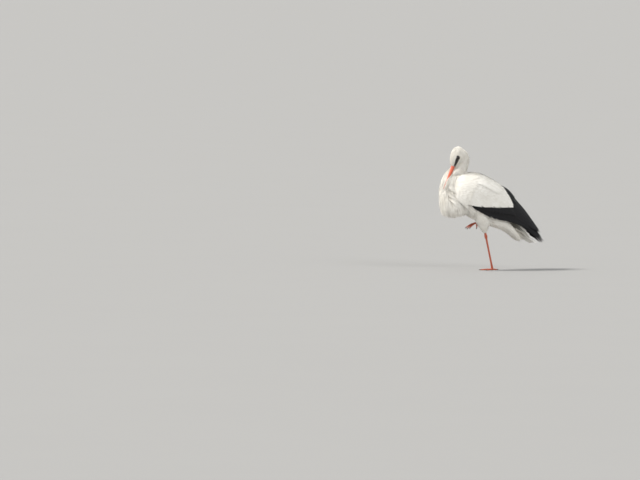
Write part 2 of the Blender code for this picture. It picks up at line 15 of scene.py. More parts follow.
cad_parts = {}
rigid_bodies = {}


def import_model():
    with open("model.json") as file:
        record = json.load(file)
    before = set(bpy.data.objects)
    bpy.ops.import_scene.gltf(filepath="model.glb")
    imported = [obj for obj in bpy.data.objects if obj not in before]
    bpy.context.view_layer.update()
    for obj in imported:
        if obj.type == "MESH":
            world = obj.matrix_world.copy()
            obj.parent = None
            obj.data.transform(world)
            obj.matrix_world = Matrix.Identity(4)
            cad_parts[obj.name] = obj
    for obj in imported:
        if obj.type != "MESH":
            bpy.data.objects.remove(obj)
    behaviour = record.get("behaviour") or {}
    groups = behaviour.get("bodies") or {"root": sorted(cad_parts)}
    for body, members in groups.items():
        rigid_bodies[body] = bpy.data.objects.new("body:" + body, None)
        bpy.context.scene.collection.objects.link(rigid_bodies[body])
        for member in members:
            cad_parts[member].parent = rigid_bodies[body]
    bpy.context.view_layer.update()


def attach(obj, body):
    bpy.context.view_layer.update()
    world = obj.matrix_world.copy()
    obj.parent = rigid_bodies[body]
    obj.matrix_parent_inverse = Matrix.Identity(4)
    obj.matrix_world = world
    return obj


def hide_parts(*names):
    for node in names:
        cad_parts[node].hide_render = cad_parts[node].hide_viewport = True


for leftover in list(bpy.data.objects):
    bpy.data.objects.remove(leftover)
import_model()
CENTRE = np.array((0.0, -0.04924, 0.0))
RNG = np.random.default_rng(7)

# ---- landmarks and sizes -------------------------------------------------------------------------
BILL_LENGTH, BILL_DEPTH, BILL_WIDTH, HEAD_LENGTH = 0.160, 0.026, 0.0205, 0.100
BILL_BASE = np.array((0.006, -0.215, 0.631))
BILL_TIP_ASIDE, BILL_TIP_AHEAD, HEAD_TURN = 0.026, 0.074, 4.0
BILL_ROOT = 0.016  # how far the bill reaches into the head behind its base
EYE_RADIUS, EYE_ALONG, EYE_UP, EYE_ASIDE, EYE_PROUD = 0.0070, 0.043, 0.006, 0.0262, 0.0010
LEFT_KNEE, LEFT_ANKLE = np.array((0.052, -0.060, 0.390)), np.array((0.018, -0.003, 0.204))
RIGHT_KNEE, RIGHT_ANKLE = np.array((-0.050, -0.052, 0.362)), np.array((-0.044, 0.160, 0.256))
LEFT_FOOT, RIGHT_FOOT = np.array((-0.0040, 0.0503, 0.0125)), np.array((-0.0360, -0.0380, 0.2830))
MIDDLE_TOE, TOE_WIDTH, TOE_DEPTH, CLAW_LENGTH = 0.078, 0.0105, 0.0095, 0.0095
TOE_SHARES = {"inner": 0.76, "middle": 1.0, "outer": 0.84, "hind": 0.40}
TOE_TURNS = {"inner": -36.0, "middle": 0.0, "outer": 34.0, "hind": 180.0}
TOE_HANGS = {
    "inner": (22.0, 34.0, -13.0),
    "middle": (16.0, 28.0, 0.0),
    "outer": (22.0, 36.0, 13.0),
    "hind": (112.0, 20.0, 0.0),
}
WRIST, WING_PITCH = np.array((0.0, -0.190, 0.450)), math.radians(27.0)
TAIL_ROOT, TAIL_TIP = np.array((0.0, 0.130, 0.303)), np.array((0.0, 0.340, 0.162))
SKIN_VOXEL, ENVELOPE_VOXEL, LEG_VOXEL = 0.0030, 0.0045, 0.00125
SCALE_GAP, SCALE_SIZE, SCALE_HEIGHT = 0.0020, 0.00138, 0.24
OFBAKE_PATCH = 0.003  # how wide each feather is on its OFBake map

# Forms of the feathered body. Each row: centre x, y, z; half width and half depth out to the feather tips;
# depth of the coat; length, width and spacing of the feathers there.
HEAD_ROWS = [  # share of the head's length and rise to the crown, in place of a centre
    (-0.07, 0.000, 0.0112, 0.0138, 0.0013, 0.0055, 0.0016, 0.0018),
    (0.06, 0.002, 0.0180, 0.0210, 0.0016, 0.0065, 0.0017, 0.0018),
    (0.24, 0.004, 0.0250, 0.0285, 0.0020, 0.0085, 0.0019, 0.0019),
    (0.44, 0.005, 0.0310, 0.0350, 0.0024, 0.0110, 0.0022, 0.0021),
    (0.66, 0.003, 0.0350, 0.0400, 0.0029, 0.0140, 0.0026, 0.0024),
    (0.90, -0.001, 0.0345, 0.0400, 0.0037, 0.0175, 0.0030, 0.0027),
    (1.06, -0.006, 0.0255, 0.0310, 0.0046, 0.0205, 0.0034, 0.0030),
]
NECK_ROWS = [
    (0.000, -0.184, 0.684, 0.031, 0.034, 0.0048, 0.020, 0.0034, 0.0031),
    (-0.002, -0.162, 0.694, 0.036, 0.040, 0.0052, 0.022, 0.0036, 0.0033),
    (-0.004, -0.145, 0.664, 0.039, 0.039, 0.0060, 0.026, 0.0040, 0.0036),
    (-0.007, -0.158, 0.620, 0.043, 0.043, 0.0075, 0.034, 0.0046, 0.0041),
    (-0.017, -0.178, 0.578, 0.063, 0.060, 0.0090, 0.046, 0.0056, 0.0048),
    (-0.020, -0.199, 0.530, 0.074, 0.077, 0.0110, 0.058, 0.0066, 0.0055),
    (-0.014, -0.209, 0.474, 0.077, 0.085, 0.0130, 0.070, 0.0075, 0.0060),
    (-0.004, -0.212, 0.420, 0.077, 0.087, 0.0130, 0.074, 0.0080, 0.0062),
    (-0.002, -0.212, 0.368, 0.070, 0.080, 0.0130, 0.066, 0.0078, 0.0062),
]
TRUNK_ROWS = [
    (0.0, -0.225, 0.440, 0.060, 0.075, 0.0120, 0.050, 0.0105, 0.0075),
    (0.0, -0.165, 0.450, 0.088, 0.106, 0.0120, 0.046, 0.0120, 0.0080),
    (0.0, -0.090, 0.450, 0.106, 0.130, 0.0120, 0.044, 0.0130, 0.0085),
    (0.0, 0.000, 0.430, 0.112, 0.132, 0.0120, 0.044, 0.0135, 0.0090),
    (0.0, 0.085, 0.402, 0.100, 0.115, 0.0120, 0.048, 0.0140, 0.0090),
    (0.0, 0.150, 0.370, 0.080, 0.085, 0.0120, 0.055, 0.0150, 0.0095),
    (0.0, 0.215, 0.325, 0.052, 0.055, 0.0120, 0.060, 0.0160, 0.0100),
    (0.0, 0.265, 0.270, 0.030, 0.028, 0.0120, 0.060, 0.0160, 0.0100),
]
MANTLE_ROWS = [
    (0.0, -0.165, 0.535, 0.050, 0.045, 0.0080, 0.042, 0.0110, 0.0075),
    (0.0, -0.110, 0.552, 0.064, 0.040, 0.0080, 0.048, 0.0135, 0.0085),
    (0.0, -0.050, 0.550, 0.070, 0.036, 0.0080, 0.054, 0.0160, 0.0095),
]
VENT_ROWS = [
    (0.014, -0.020, 0.350, 0.058, 0.060, 0.0120, 0.045, 0.0115, 0.0075),
    (0.014, 0.045, 0.318, 0.056, 0.062, 0.0120, 0.052, 0.0115, 0.0075),
    (0.012, 0.095, 0.292, 0.050, 0.050, 0.0130, 0.065, 0.0115, 0.0075),
    (0.006, 0.150, 0.250, 0.044, 0.032, 0.0140, 0.075, 0.0120, 0.0075),
    (0.004, 0.208, 0.196, 0.032, 0.020, 0.0130, 0.050, 0.0115, 0.0070),
]
LEFT_THIGH = [  # share of the way from knee to ankle, in place of a centre
    (0.0, 0.044, 0.060, 0.0100, 0.034, 0.0090, 0.0062),
    (0.32, 0.038, 0.052, 0.0080, 0.030, 0.0080, 0.0056),
    (0.58, 0.028, 0.038, 0.0060, 0.026, 0.0065, 0.0048),
    (0.74, 0.018, 0.025, 0.0050, 0.022, 0.0052, 0.0040),
    (0.83, 0.011, 0.014, 0.0038, 0.018, 0.0042, 0.0032),
]
RIGHT_THIGH = [
    (0.0, 0.044, 0.056, 0.0100, 0.034, 0.0090, 0.0062),
    (0.30, 0.036, 0.046, 0.0080, 0.030, 0.0080, 0.0056),
    (0.58, 0.024, 0.026, 0.0050, 0.024, 0.0065, 0.0048),
    (0.74, 0.013, 0.014, 0.0035, 0.020, 0.0052, 0.0040),
    (0.82, 0.009, 0.009, 0.0030, 0.017, 0.0042, 0.0032),
]

# The bare leg: share of the way down the bone, half width and half depth.
SHANK_ROWS = [(0.60, 0.0050, 0.0056), (0.80, 0.0052, 0.0058), (0.93, 0.0062, 0.0070), (0.995, 0.0072, 0.0082)]
TARSUS_ROWS = [
    (-0.045, 0.0060, 0.0068), (-0.015, 0.0079, 0.0092), (0.030, 0.0077, 0.0086), (0.085, 0.0055, 0.0063),
    (0.16, 0.0047, 0.0057), (0.45, 0.0045, 0.0054), (0.80, 0.0047, 0.0056), (0.955, 0.0055, 0.0066),
    (0.975, 0.0058, 0.0068),
]
# The folds round the eye: degrees from the middle of the pupil, and height over the eyeball in millimetres.
LID_FOLDS = [
    (45, -0.8), (48, 0.1), (51, 0.7), (57, 0.95), (64, 0.75), (71, 0.40), (78, 0.65), (87, 0.45), (98, -0.3),
    (114, -1.8),
]

# The folded wing: distance along its axis from the wrist, half width, height of the ridge and of the
# section's centre.
WING_SECTIONS = [
    (-0.090, 0.034, 0.092, 0.050),
    (-0.030, 0.078, 0.140, 0.055),
    (0.030, 0.106, 0.176, 0.060),
    (0.100, 0.121, 0.190, 0.060),
    (0.200, 0.122, 0.190, 0.058),
    (0.280, 0.112, 0.190, 0.054),
    (0.360, 0.092, 0.161, 0.050),
    (0.440, 0.070, 0.134, 0.044),
    (0.520, 0.052, 0.098, 0.033),
    (0.580, 0.038, 0.070, 0.020),
    (0.640, 0.024, 0.040, 0.004),
]
WALL_TUCK = 0.46  # how much of its width the wing's side draws in by, from its widest line to its foot
# Reach along the wing's axis, and the degrees from its ridge between which it takes room in the body.
WING_ROOM = [
    (-0.020, 56, 96), (0.000, 26, 118), (0.040, 2, 140), (0.075, -4, 151), (0.180, -4, 152), (0.280, -4, 134),
    (0.320, -4, 129), (0.450, -4, 119), (0.540, -4, 122),
]
# Degrees from the ridge, and the reach of the front and of the back edge of the white coverts there.
WHITE_FRONT = [
    (2, 0.050), (10, 0.028), (30, 0.000), (60, -0.016), (92, -0.016), (114, 0.000), (128, 0.040),
    (134, 0.060),
]
WHITE_BACK = [
    (2, 0.185), (26, 0.225), (48, 0.265), (60, 0.305), (68, 0.332), (73, 0.332), (80, 0.310), (91, 0.265),
    (101, 0.225), (108, 0.190), (120, 0.140), (128, 0.100), (134, 0.075),
]
# Reach, and the degrees from the ridge of the upper and of the lower edge of the black feathers there.
BLACK_EDGES = [
    (0.020, 60, 130), (0.048, 30, 142), (0.070, 10, 147), (0.120, 2.5, 149), (0.220, 2.5, 146),
    (0.290, 2.5, 131), (0.370, 2.5, 119), (0.450, 2.5, 109), (0.530, 3, 96), (0.580, 4, 90), (0.650, 6, 120),
]
# Reach and degrees from the ridge of the tips of the primaries.
PRIMARY_TIPS = [(0.640, 100), (0.646, 76), (0.630, 56), (0.612, 46), (0.590, 110), (0.565, 104), (0.540, 98)]


# ---- working with points -------------------------------------------------------------------------
def unit(v):
    """The vectors at length 1."""
    return v / np.maximum(np.linalg.norm(v, axis=-1, keepdims=True), 1e-12)


def dot(a, b):
    return (a * b).sum(axis=-1)


def smoothstep(low, high, x):
    t = np.clip((x - low) / (high - low), 0, 1)
    return t * t * (3 - 2 * t)


def spline(rows, steps):
    """A smooth (Catmull-Rom) run through the rows, with this many steps between each two of them."""
    rows = np.array(rows, float)
    ends = np.vstack([2 * rows[0] - rows[1], rows, 2 * rows[-1] - rows[-2]])
    t = (np.arange(steps) / steps)[:, None]
    out = []
    for a, b, c, d in zip(ends, ends[1:], ends[2:], ends[3:]):
        cubic = (3 * b - a - 3 * c + d) * t**3
        out.append(0.5 * (2 * b + (c - a) * t + (2 * a - 5 * b + 4 * c - d) * t**2 + cubic))
    return np.vstack([*out, rows[-1:]])


def looked_up(table, at, *columns):
    """The table's columns at these values of its first one."""
    table = np.asarray(table, float)
    return [np.interp(at, table[:, 0], table[:, k]) for k in columns]


def end_rings(last, before, reach, rings):
    """Rings past the end of a run of (x, y, z, wide, deep, ...) that close it like the end of an egg."""
    out = unit(last[:3] - before[:3])
    angle = 0.5 * math.pi * np.arange(1, rings + 1)[:, None] / (rings + 0.3)
    sizes = np.tile(last[3:], (rings, 1))
    sizes[:, :2] = last[3:5] * np.cos(angle)
    return np.hstack([last[:3] + out * reach * np.sin(angle), sizes])


def round_off(rows, reach, rings=6, start=True):
    """The run of rows with its end closed, and its start as well if that is asked for."""
    rows = np.array(rows, float)
    first = [end_rings(rows[0], rows[1], reach, rings)[::-1]] if start else []
    return np.vstack([*first, rows, end_rings(rows[-1], rows[-2], reach, rings)])


def section_frames(rows, side):
    """Unit vectors ahead, across and deep at each row of a path."""
    ahead = unit(np.gradient(rows[:, :3], axis=0))
    across = unit(side - ahead * dot(ahead, side)[:, None])
    return ahead, across, np.cross(ahead, across)


def loft_points(rows, sides, side=(1.0, 0.0, 0.0), square=2.0):
    """Rings of points round a path of (x, y, z, half width, half depth)."""
    rows = np.asarray(rows, float)
    _, across, deep = section_frames(rows, np.array(side))
    angle = 2 * np.pi * (np.arange(sides) + 0.5) / sides
    c = np.sign(np.cos(angle)) * np.abs(np.cos(angle)) ** (2 / square)
    s = np.sign(np.sin(angle)) * np.abs(np.sin(angle)) ** (2 / square)
    wide, long = across[:, None] * rows[:, 3, None, None], deep[:, None] * rows[:, 4, None, None]
    return rows[:, None, :3] + wide * c[None, :, None] + long * s[None, :, None]


def ring_faces(rings, sides):
    """The quads between rings, and the two end caps, with their faces pointing out."""
    i, k = np.meshgrid(np.arange(rings - 1), np.arange(sides), indexing="ij")
    n = (k + 1) % sides
    here, beside = i * sides + k, i * sides + n
    quads = np.stack([here, beside, beside + sides, here + sides], axis=-1).reshape(-1, 4)
    return [quads, np.arange(sides)[None, ::-1], (rings - 1) * sides + np.arange(sides)[None]]


# ---- making meshes -------------------------------------------------------------------------------
def new_mesh(name, points, faces, uv_maps=None, shades=None, smooth=True):
    """An object from points and arrays of faces. uv_maps and shades hold one value for each point."""
    points = np.asarray(points, np.float32).reshape(-1, 3) + CENTRE.astype(np.float32)
    corners = np.concatenate([f.ravel() for f in faces]).astype(np.int32)
    totals = np.concatenate([np.full(len(f), f.shape[1]) for f in faces])
    mesh = bpy.data.meshes.new(name)
    mesh.vertices.add(len(points))
    mesh.vertices.foreach_set("co", points.ravel())
    mesh.loops.add(len(corners))
    mesh.loops.foreach_set("vertex_index", corners)
    mesh.polygons.add(len(totals))
    mesh.polygons.foreach_set("loop_start", np.concatenate([[0], np.cumsum(totals)[:-1]]).astype(np.int32))
    mesh.update(calc_edges=True)
    mesh.validate()
    for label, values in (uv_maps or {}).items():
        layer = mesh.uv_layers.new(name=label)
        layer.data.foreach_set("uv", np.asarray(values, np.float32)[corners].ravel())
    for label, values in (shades or {}).items():
        attribute = mesh.attributes.new(label, "FLOAT", "POINT")
        attribute.data.foreach_set("value", np.asarray(values, np.float32))
    if smooth:
        mesh.shade_smooth()
    obj = bpy.data.objects.new(name, mesh)
    bpy.context.scene.collection.objects.link(obj)
    return obj


def loft(name, rows, sides, side=(1.0, 0.0, 0.0), square=2.0, floor=None):
    """A closed object round a path, cut flat at the floor if there is one."""
    points = loft_points(rows, sides, side, square)
    if floor is not None:
        points[..., 2] = np.maximum(points[..., 2], floor)
    return new_mesh(name, points, ring_faces(len(rows), sides))


def joined(name, objects):
    """One object that holds the meshes of all of these, which are removed."""
    bpy.ops.object.select_all(action="DESELECT")
    for obj in objects:
        obj.select_set(True)
    bpy.context.view_layer.objects.active = objects[0]
    bpy.ops.object.join()
    objects[0].name = name
    objects[0].data.name = name
    return objects[0]


def applied(obj):
    """Turns the object's modifiers into its plain mesh."""
    graph = bpy.context.evaluated_depsgraph_get()
    mesh = bpy.data.meshes.new_from_object(obj.evaluated_get(graph))
    obj.modifiers.clear()
    obj.data = mesh
    mesh.name = obj.name
    return obj


def melted(obj, voxel):
    """The object as one closed surface round all of its parts."""
    remesh = obj.modifiers.new("Melt", "REMESH")
    remesh.mode = "VOXEL"
    remesh.voxel_size = voxel
    return applied(obj)


def values_of(items, field, width, kind=np.float32):
    """One field of all of a mesh's items, as an array with this many numbers for each."""
    values = np.empty(len(items) * width, kind)
    items.foreach_get(field, values)
    return values.reshape(-1, width)


def mesh_arrays(obj):
    """Points (round the landmarks), their normals, and triangles with their corners' places in the mesh."""
    mesh = obj.data
    mesh.calc_loop_triangles()
    points = values_of(mesh.vertices, "co", 3).astype(float) - CENTRE
    normals = values_of(mesh.vertices, "normal", 3).astype(float)
    triangles = values_of(mesh.loop_triangles, "vertices", 3, np.int32)
    return points, normals, triangles, values_of(mesh.loop_triangles, "loops", 3, np.int32)


# ---- the head's own axes -------------------------------------------------------------------------
def head_axes():
    """Unit vectors from the bill's tip to its base, to the crown, and to the left of the head."""
    aside = BILL_TIP_ASIDE - BILL_BASE[0]
    drop = math.sqrt(BILL_LENGTH**2 - BILL_TIP_AHEAD**2 - aside**2)
    along = unit(-np.array((aside, -BILL_TIP_AHEAD, -drop)))
    side = np.array((math.cos(math.radians(HEAD_TURN)), math.sin(math.radians(HEAD_TURN)), 0.0))
    side = unit(side - along * (along @ side))
    return along, np.cross(side, along), side


ALONG, CROWN, ASIDE = head_axes()


def head_point(along, crown=0.0, aside=0.0):
    """Points this far from the bill's base along the head, up to its crown and to its left."""
    along, crown, aside = (np.asarray(v, float)[..., None] for v in (along, crown, aside))
    return BILL_BASE + ALONG * along + CROWN * crown + ASIDE * aside


def in_head(points):
    """How far along, up to the crown and to the left of the head each point lies."""
    offset = points - BILL_BASE
    return offset @ ALONG, offset @ CROWN, offset @ ASIDE


def bare_face(points):
    """1 on the bare dark skin from the bill to just past each eye, 0 on feathered skin."""
    along, up, aside = in_head(points)
    t = np.clip((along + 0.006) / 0.050, 0, 1)
    off = np.hypot(along - (-0.006 + 0.050 * t), up - (-0.004 + 0.010 * t))
    off = off / np.where(along > EYE_ALONG, 1.25, 1.0)
    radius = 0.0080 + 0.0048 * smoothstep(0.0, 0.8, t)
    return smoothstep(0.0, 0.0012, radius - off) * smoothstep(0.005, 0.009, np.abs(aside))


# ---- forms of the body and the lie of its coat ---------------------------------------------------
def along_line(start, end, rows):
    """The rows with their share of the way from start to end turned into a place."""
    return [(*(start + (end - start) * row[0]), *row[1:]) for row in rows]


def body_forms():
    """The rows, sides, across direction and squareness of each overlapping form of the body."""
    head = [(*head_point(row[0] * HEAD_LENGTH, row[1]), *row[2:]) for row in HEAD_ROWS]
    forms = {"head": (round_off(spline(head, 3), 0.012, start=False), 48, ASIDE, 2.0)}
    for name, rows, reach, sides, square in (
        ("neck", NECK_ROWS, 0.034, 56, 2.3),
        ("trunk", TRUNK_ROWS, 0.020, 64, 2.15),
        ("mantle", MANTLE_ROWS, 0.030, 48, 2.0),
        ("vent", VENT_ROWS, 0.022, 48, 2.0),
        ("thigh_left", along_line(LEFT_KNEE, LEFT_ANKLE, LEFT_THIGH), 0.010, 40, 2.0),
        ("thigh_right", along_line(RIGHT_KNEE, RIGHT_ANKLE, RIGHT_THIGH), 0.010, 40, 2.0),
    ):
        forms[name] = (round_off(spline(rows, 3), reach), sides, np.array((1.0, 0.0, 0.0)), square)
    return forms


FORMS = body_forms()


class LieOfCoat:
    """Which way the feathers run at any point of the body, how deep they lie and how large they are."""

    def __init__(self):
        parts = []
        for rows, _, side, _ in FORMS.values():
            parts.append(np.hstack([rows, *section_frames(rows, side)]))
        table = np.vstack(parts)
        self.centre, self.size, self.values = table[:, :3], table[:, 3:5], table[:, 5:9]
        self.ahead, self.across, self.deep = table[:, 9:12], table[:, 12:15], table[:, 15:18]

    def at(self, points):
        """(direction, depth, length, width, spacing) for each point."""
        found = []
        for chunk in np.array_split(points, max(1, len(points) // 12000)):
            offset = chunk[:, None] - self.centre[None]
            axial = dot(offset, self.ahead[None])
            a = dot(offset, self.across[None]) / self.size[:, 0]
            b = dot(offset, self.deep[None]) / self.size[:, 1]
            off = (np.hypot(a, b) - 1) * self.size.mean(axis=1)
            far = 1e-7 / (1 + (axial**2 + off**2) * 1e5)
            weight = np.exp(-((axial / 0.011) ** 2) - (off / 0.010) ** 2) + far
            weight /= weight.sum(axis=1, keepdims=True)
            found.append(np.hstack([unit(weight @ self.ahead), weight @ self.values]))
        found = np.vstack(found)
        along, up, aside = in_head(points)
        near = (np.hypot(up, aside) < 0.06) & (along < 0.15)
        turn = 1.4 * smoothstep(0.060, 0.100, along) * near
        flank = smoothstep(0.030, 0.055, np.abs(points[:, 0])) * smoothstep(-0.090, -0.150, points[:, 1])
        flank *= smoothstep(0.590, 0.540, points[:, 2]) * smoothstep(0.300, 0.340, points[:, 2])
        found[:, :3] = unit(found[:, :3] - CROWN * turn[:, None] - np.array((0, 0, 1.3)) * flank[:, None])
        return found[:, :3], found[:, 3], found[:, 4], found[:, 5], found[:, 6]


COAT = LieOfCoat()


# ---- the folded wing's surface -------------------------------------------------------------------
WING_AHEAD = np.array((0.0, math.cos(WING_PITCH), -math.sin(WING_PITCH)))
WING_UP = np.array((0.0, math.sin(WING_PITCH), math.cos(WING_PITCH)))
SECTIONS = spline(WING_SECTIONS, 8)


def wing_section(reach):
    """Half width, height of the ridge and height of the section's centre at this reach."""
    return looked_up(SECTIONS, reach, 1, 2, 3)


def wing_point(side, reach, degrees, depth):
    """Points of the folded wing: reach along its axis, degrees from the ridge and depth under its face."""
    reach, degrees, depth = np.broadcast_arrays(reach, degrees, depth)
    wide, ridge, centre = wing_section(reach)
    high = ridge - centre
    angle = np.radians(degrees)
    s, c = np.sin(angle), np.cos(angle)
    out = np.where(degrees <= 90, wide * s, wide * (1 - WALL_TUCK * (1 - s)))
    up = high * c
    inward = unit(np.stack([out / wide**2, up / high**2], axis=-1))
    shrink = depth * np.minimum(1.0, (wide - 0.004) / 0.030)
    out = np.maximum(out - inward[..., 0] * shrink, 0.0006)
    up = up - inward[..., 1] * shrink
    points = WRIST + WING_AHEAD * reach[..., None] + WING_UP * (centre + up)[..., None]
    points[..., 0] += side * out
    return points


def in_wing(points):
    """(reach, degrees, depth) of points beside or under the folded wing of their own side."""
    offset = points - WRIST
    reach, up, out = offset @ WING_AHEAD, offset @ WING_UP, np.abs(offset[:, 0])
    wide, ridge, centre = wing_section(reach)
    high = ridge - centre
    rise = (up - centre) / high
    round_top = np.hypot(out / wide, rise)
    over = np.degrees(np.arctan2(out / wide, rise))
    under = np.degrees(np.arccos(np.clip(rise, -1, 1)))
    wall = wide * (1 - WALL_TUCK * (1 - np.sin(np.radians(under))))
    top, roof = rise >= 0, (1 - round_top) * 0.5 * (wide + high)
    return reach, np.where(top, over, under), np.where(top, roof, wall - out)


def under_wing(points, margin=9.0):
    """0 to 1: how far each point lies inside the room of the folded wing, and how deep it is there."""
    reach, degrees, depth = in_wing(points)
    low, high = looked_up(spline(WING_ROOM, 4), reach, 1, 2)
    inside = np.minimum(degrees - low + margin * (low < 0), high - degrees) / margin
    inside = np.minimum(inside, (reach + 0.014) / 0.03)
    return np.clip(inside, 0, 1) * (reach < 0.56), depth


def tuck_under_wings(points, need=0.027):
    """Moves the skin in wherever a folded wing lies over it."""
    inside, depth = under_wing(points)
    move = np.clip(need * smoothstep(0, 1, inside) - depth, 0, 0.03) * (depth > -0.02)
    reach = (points - WRIST) @ WING_AHEAD
    _, _, centre = wing_section(reach)
    axis = WRIST + WING_AHEAD * reach[:, None] + WING_UP * centre[:, None]
    inward = unit(axis - points)
    return points + inward * move[:, None]


# ---- skin ----------------------------------------------------------------------------------------
def relaxed(points, faces, rounds=60):
    """The points with small bumps smoothed away and the large shape kept."""
    pairs = np.concatenate([faces, np.roll(faces, -1, axis=1)], axis=0).reshape(2, -1)
    one = np.concatenate([pairs[0], pairs[1]])
    two = np.concatenate([pairs[1], pairs[0]])
    count = np.bincount(one, minlength=len(points))[:, None]
    inward, outward = 0.5, -0.52
    for k in range(2 * rounds):
        sums = [np.bincount(one, points[two, a], minlength=len(points)) for a in range(3)]
        mean = np.stack(sums, axis=1) / count
        points = points + (outward if k % 2 else inward) * (mean - points)
    return points


def melted_body(name, coat_share, voxel):
    """The body's forms, each thinner by this share of its coat, melted into one closed surface."""
    pieces = []
    for label, (rows, sides, side, square) in FORMS.items():
        rows = rows.copy()
        cut = coat_share * rows[:, 5]
        rows[:, 3] = np.maximum(rows[:, 3] - cut, 0.25 * rows[:, 3])
        rows[:, 4] = np.maximum(rows[:, 4] - cut, 0.25 * rows[:, 4])
        ends = rows[[0, -1], :3] - rows[[3, -4], :3]
        rows[[0, -1], :3] -= unit(ends) * 0.5 * cut[[0, -1], None]
        pieces.append(loft(label, rows, sides, side, square))
    return melted(joined(name, pieces), voxel)


def make_body_skin():
    """The body under its coat, smoothed and drawn in where the wings lie."""
    body = melted_body("skin", 1.0, SKIN_VOXEL)
    points, _, _, _ = mesh_arrays(body)
    quads = values_of(body.data.loops, "vertex_index", 1, np.int32).reshape(-1, 4)
    points = relaxed(points, quads)
    points = relaxed(tuck_under_wings(points), quads, 12)
    body.data.vertices.foreach_set("co", (points + CENTRE).astype(np.float32).ravel())
    body.data.update()
    return body


def eye_frame(side):
    """The middle of one eye, and unit vectors out of it, back from it and across both."""
    axis = unit(ASIDE * side - ALONG * 0.16 + CROWN * 0.03)
    back = unit(ALONG - axis * (ALONG @ axis))
    return head_point(EYE_ALONG, EYE_UP, side * (EYE_ASIDE + EYE_PROUD)), axis, back, np.cross(axis, back)


def lid_ring(side):
    """The folds of bare skin round one eye, from inside the socket over the lid's rim to the cheek."""
    steps = 48
    turn = np.linspace(0, 2 * np.pi, steps, endpoint=False)
    centre, axis, back, up = eye_frame(side)
    up = up if up @ CROWN > 0 else -up
    rings = []
    for polar, lift in LID_FOLDS:
        brow = 1 + 0.13 * np.cos(2 * turn) - 0.10 * np.clip(np.sin(turn), 0, 1)
        angle = np.radians(polar * (brow if polar < 60 else 1.0 + 0.05 * np.cos(2 * turn)))
        wrinkle = 0.10 * np.sin(turn * 13 + polar)
        radius = EYE_RADIUS + (lift + wrinkle) * 0.001
        spread = np.sin(angle) * radius + max(0, polar - 70) * 0.00007
        ring = centre + axis * (np.cos(angle) * radius)[:, None]
        rings.append(ring + back * (spread * np.cos(turn))[:, None] + up * (spread * np.sin(turn))[:, None])
    faces = ring_faces(len(rings), steps)[0]
    if np.linalg.det([back, up, axis]) > 0:
        faces = faces[:, ::-1]
    return new_mesh("lid", np.array(rings), [faces])


# ---- legs ----------------------------------------------------------------------------------------
def leg_pieces(knee, ankle, foot):
    """The bare shank, the swollen joint and the tarsus of one leg."""
    shank = spline(along_line(knee, ankle, SHANK_ROWS), 6)
    tarsus = spline(along_line(ankle, foot, TARSUS_ROWS), 6)
    return [loft("shank", shank, 24), loft("tarsus", round_off(tarsus, 0.004), 24)]


def toe_path(start, heading, down, length, hang):
    """The rings of a toe with a pad under each joint, where it ends and the way it points there."""
    knuckles = np.array((1.10, 1.0, 0.86, 0.94, 0.78, 0.72, 0.58))
    rows, place, direction = [], start, heading
    for i, k in enumerate(knuckles):
        rows.append((*place, 0.5 * TOE_WIDTH * k, 0.5 * TOE_DEPTH * k))
        bend = math.radians(hang * i / (len(knuckles) - 1))
        direction = heading * math.cos(bend) + down * math.sin(bend)
        place = place + direction * (length / (len(knuckles) - 1))
    return np.array(rows), np.array(rows[-1][:3]), direction


def scuted(rows, scute=0.0030, depth=0.05):
    """A finer path whose rings step in and out, as the plates across the top of a toe do."""
    rows = spline(rows, 8)
    far = np.concatenate([[0], np.cumsum(np.linalg.norm(np.diff(rows[:, :3], axis=0), axis=1))])
    wave = np.abs(np.sin(np.pi * far / scute)) ** 0.5
    rows[:, 3:5] *= (1 - depth + depth * wave)[:, None]
    return rows


def claw(name, tip, direction, down, bow, floor=None):
    """A blunt horn claw from the tip of a toe, bent downwards."""
    wide, deep, blunt, steps = 0.0030, 0.0028, 0.00035, 11
    rows, place = [], tip + direction * 0.0015
    for t in np.linspace(0, 1, steps + 1):
        rows.append((*place, wide * (1 - t) ** 0.62 + blunt, deep * (1 - t) ** 0.62 + blunt))
        place = place + unit(direction + down * bow * t) * ((CLAW_LENGTH + 0.0008) / steps)
    obj = loft(name + "_horn", rows, 14, np.cross(direction, down), floor=floor)
    finish_piece(obj, "claw_horn", name, slot="dark_claw")


def standing_toes():
    """The four toes that the bird stands on, flat on the floor."""
    down, toes = np.array((0.0, 0.0, -1.0)), []
    for toe, share in TOE_SHARES.items():
        turn = math.radians(TOE_TURNS[toe])
        heading = np.array((math.sin(turn), -math.cos(turn), 0.0))
        rows, tip, _ = toe_path(LEFT_FOOT * (1, 1, 0), heading, down, MIDDLE_TOE * share, 0)
        rows[:, 2] = rows[:, 4] * 0.84
        rows[0, 2] = LEFT_FOOT[2] - 0.004
        rows = round_off(scuted(rows), 0.002, 3, start=False)
        toes.append(loft("toe", rows, 20, np.cross(heading, down), floor=0.0))
        claw(f"claw_left_{toe}", np.array((tip[0], tip[1], 0.0031)), heading, down, 0.25, 0.0003)
    return toes


def hanging_toes():
    """The four toes of the lifted foot, half closed."""
    forward = unit(RIGHT_FOOT - RIGHT_ANKLE)
    down = unit(np.array((0.0, 0.0, -1.0)) + forward * forward[2])
    toes = []
    for toe, share in TOE_SHARES.items():
        first, curl, spread = TOE_HANGS[toe]
        turn, angle = math.radians(spread), math.radians(first)
        ahead = unit(forward * math.cos(turn) - np.array((1.0, 0.0, 0.0)) * math.sin(turn))
        heading = unit(ahead * math.cos(angle) + down * math.sin(angle))
        fall = forward if toe == "hind" else unit(down - heading * (down @ heading))
        start, length = RIGHT_FOOT + forward * 0.002, MIDDLE_TOE * share * 0.94
        rows, tip, last = toe_path(start, heading, fall, length, curl)
        rows = round_off(scuted(rows), 0.002, 3, start=False)
        toes.append(loft("toe", rows, 20, unit(np.cross(heading, fall))))
        claw(f"claw_right_{toe}", tip, last, fall, 0.35)
    return toes


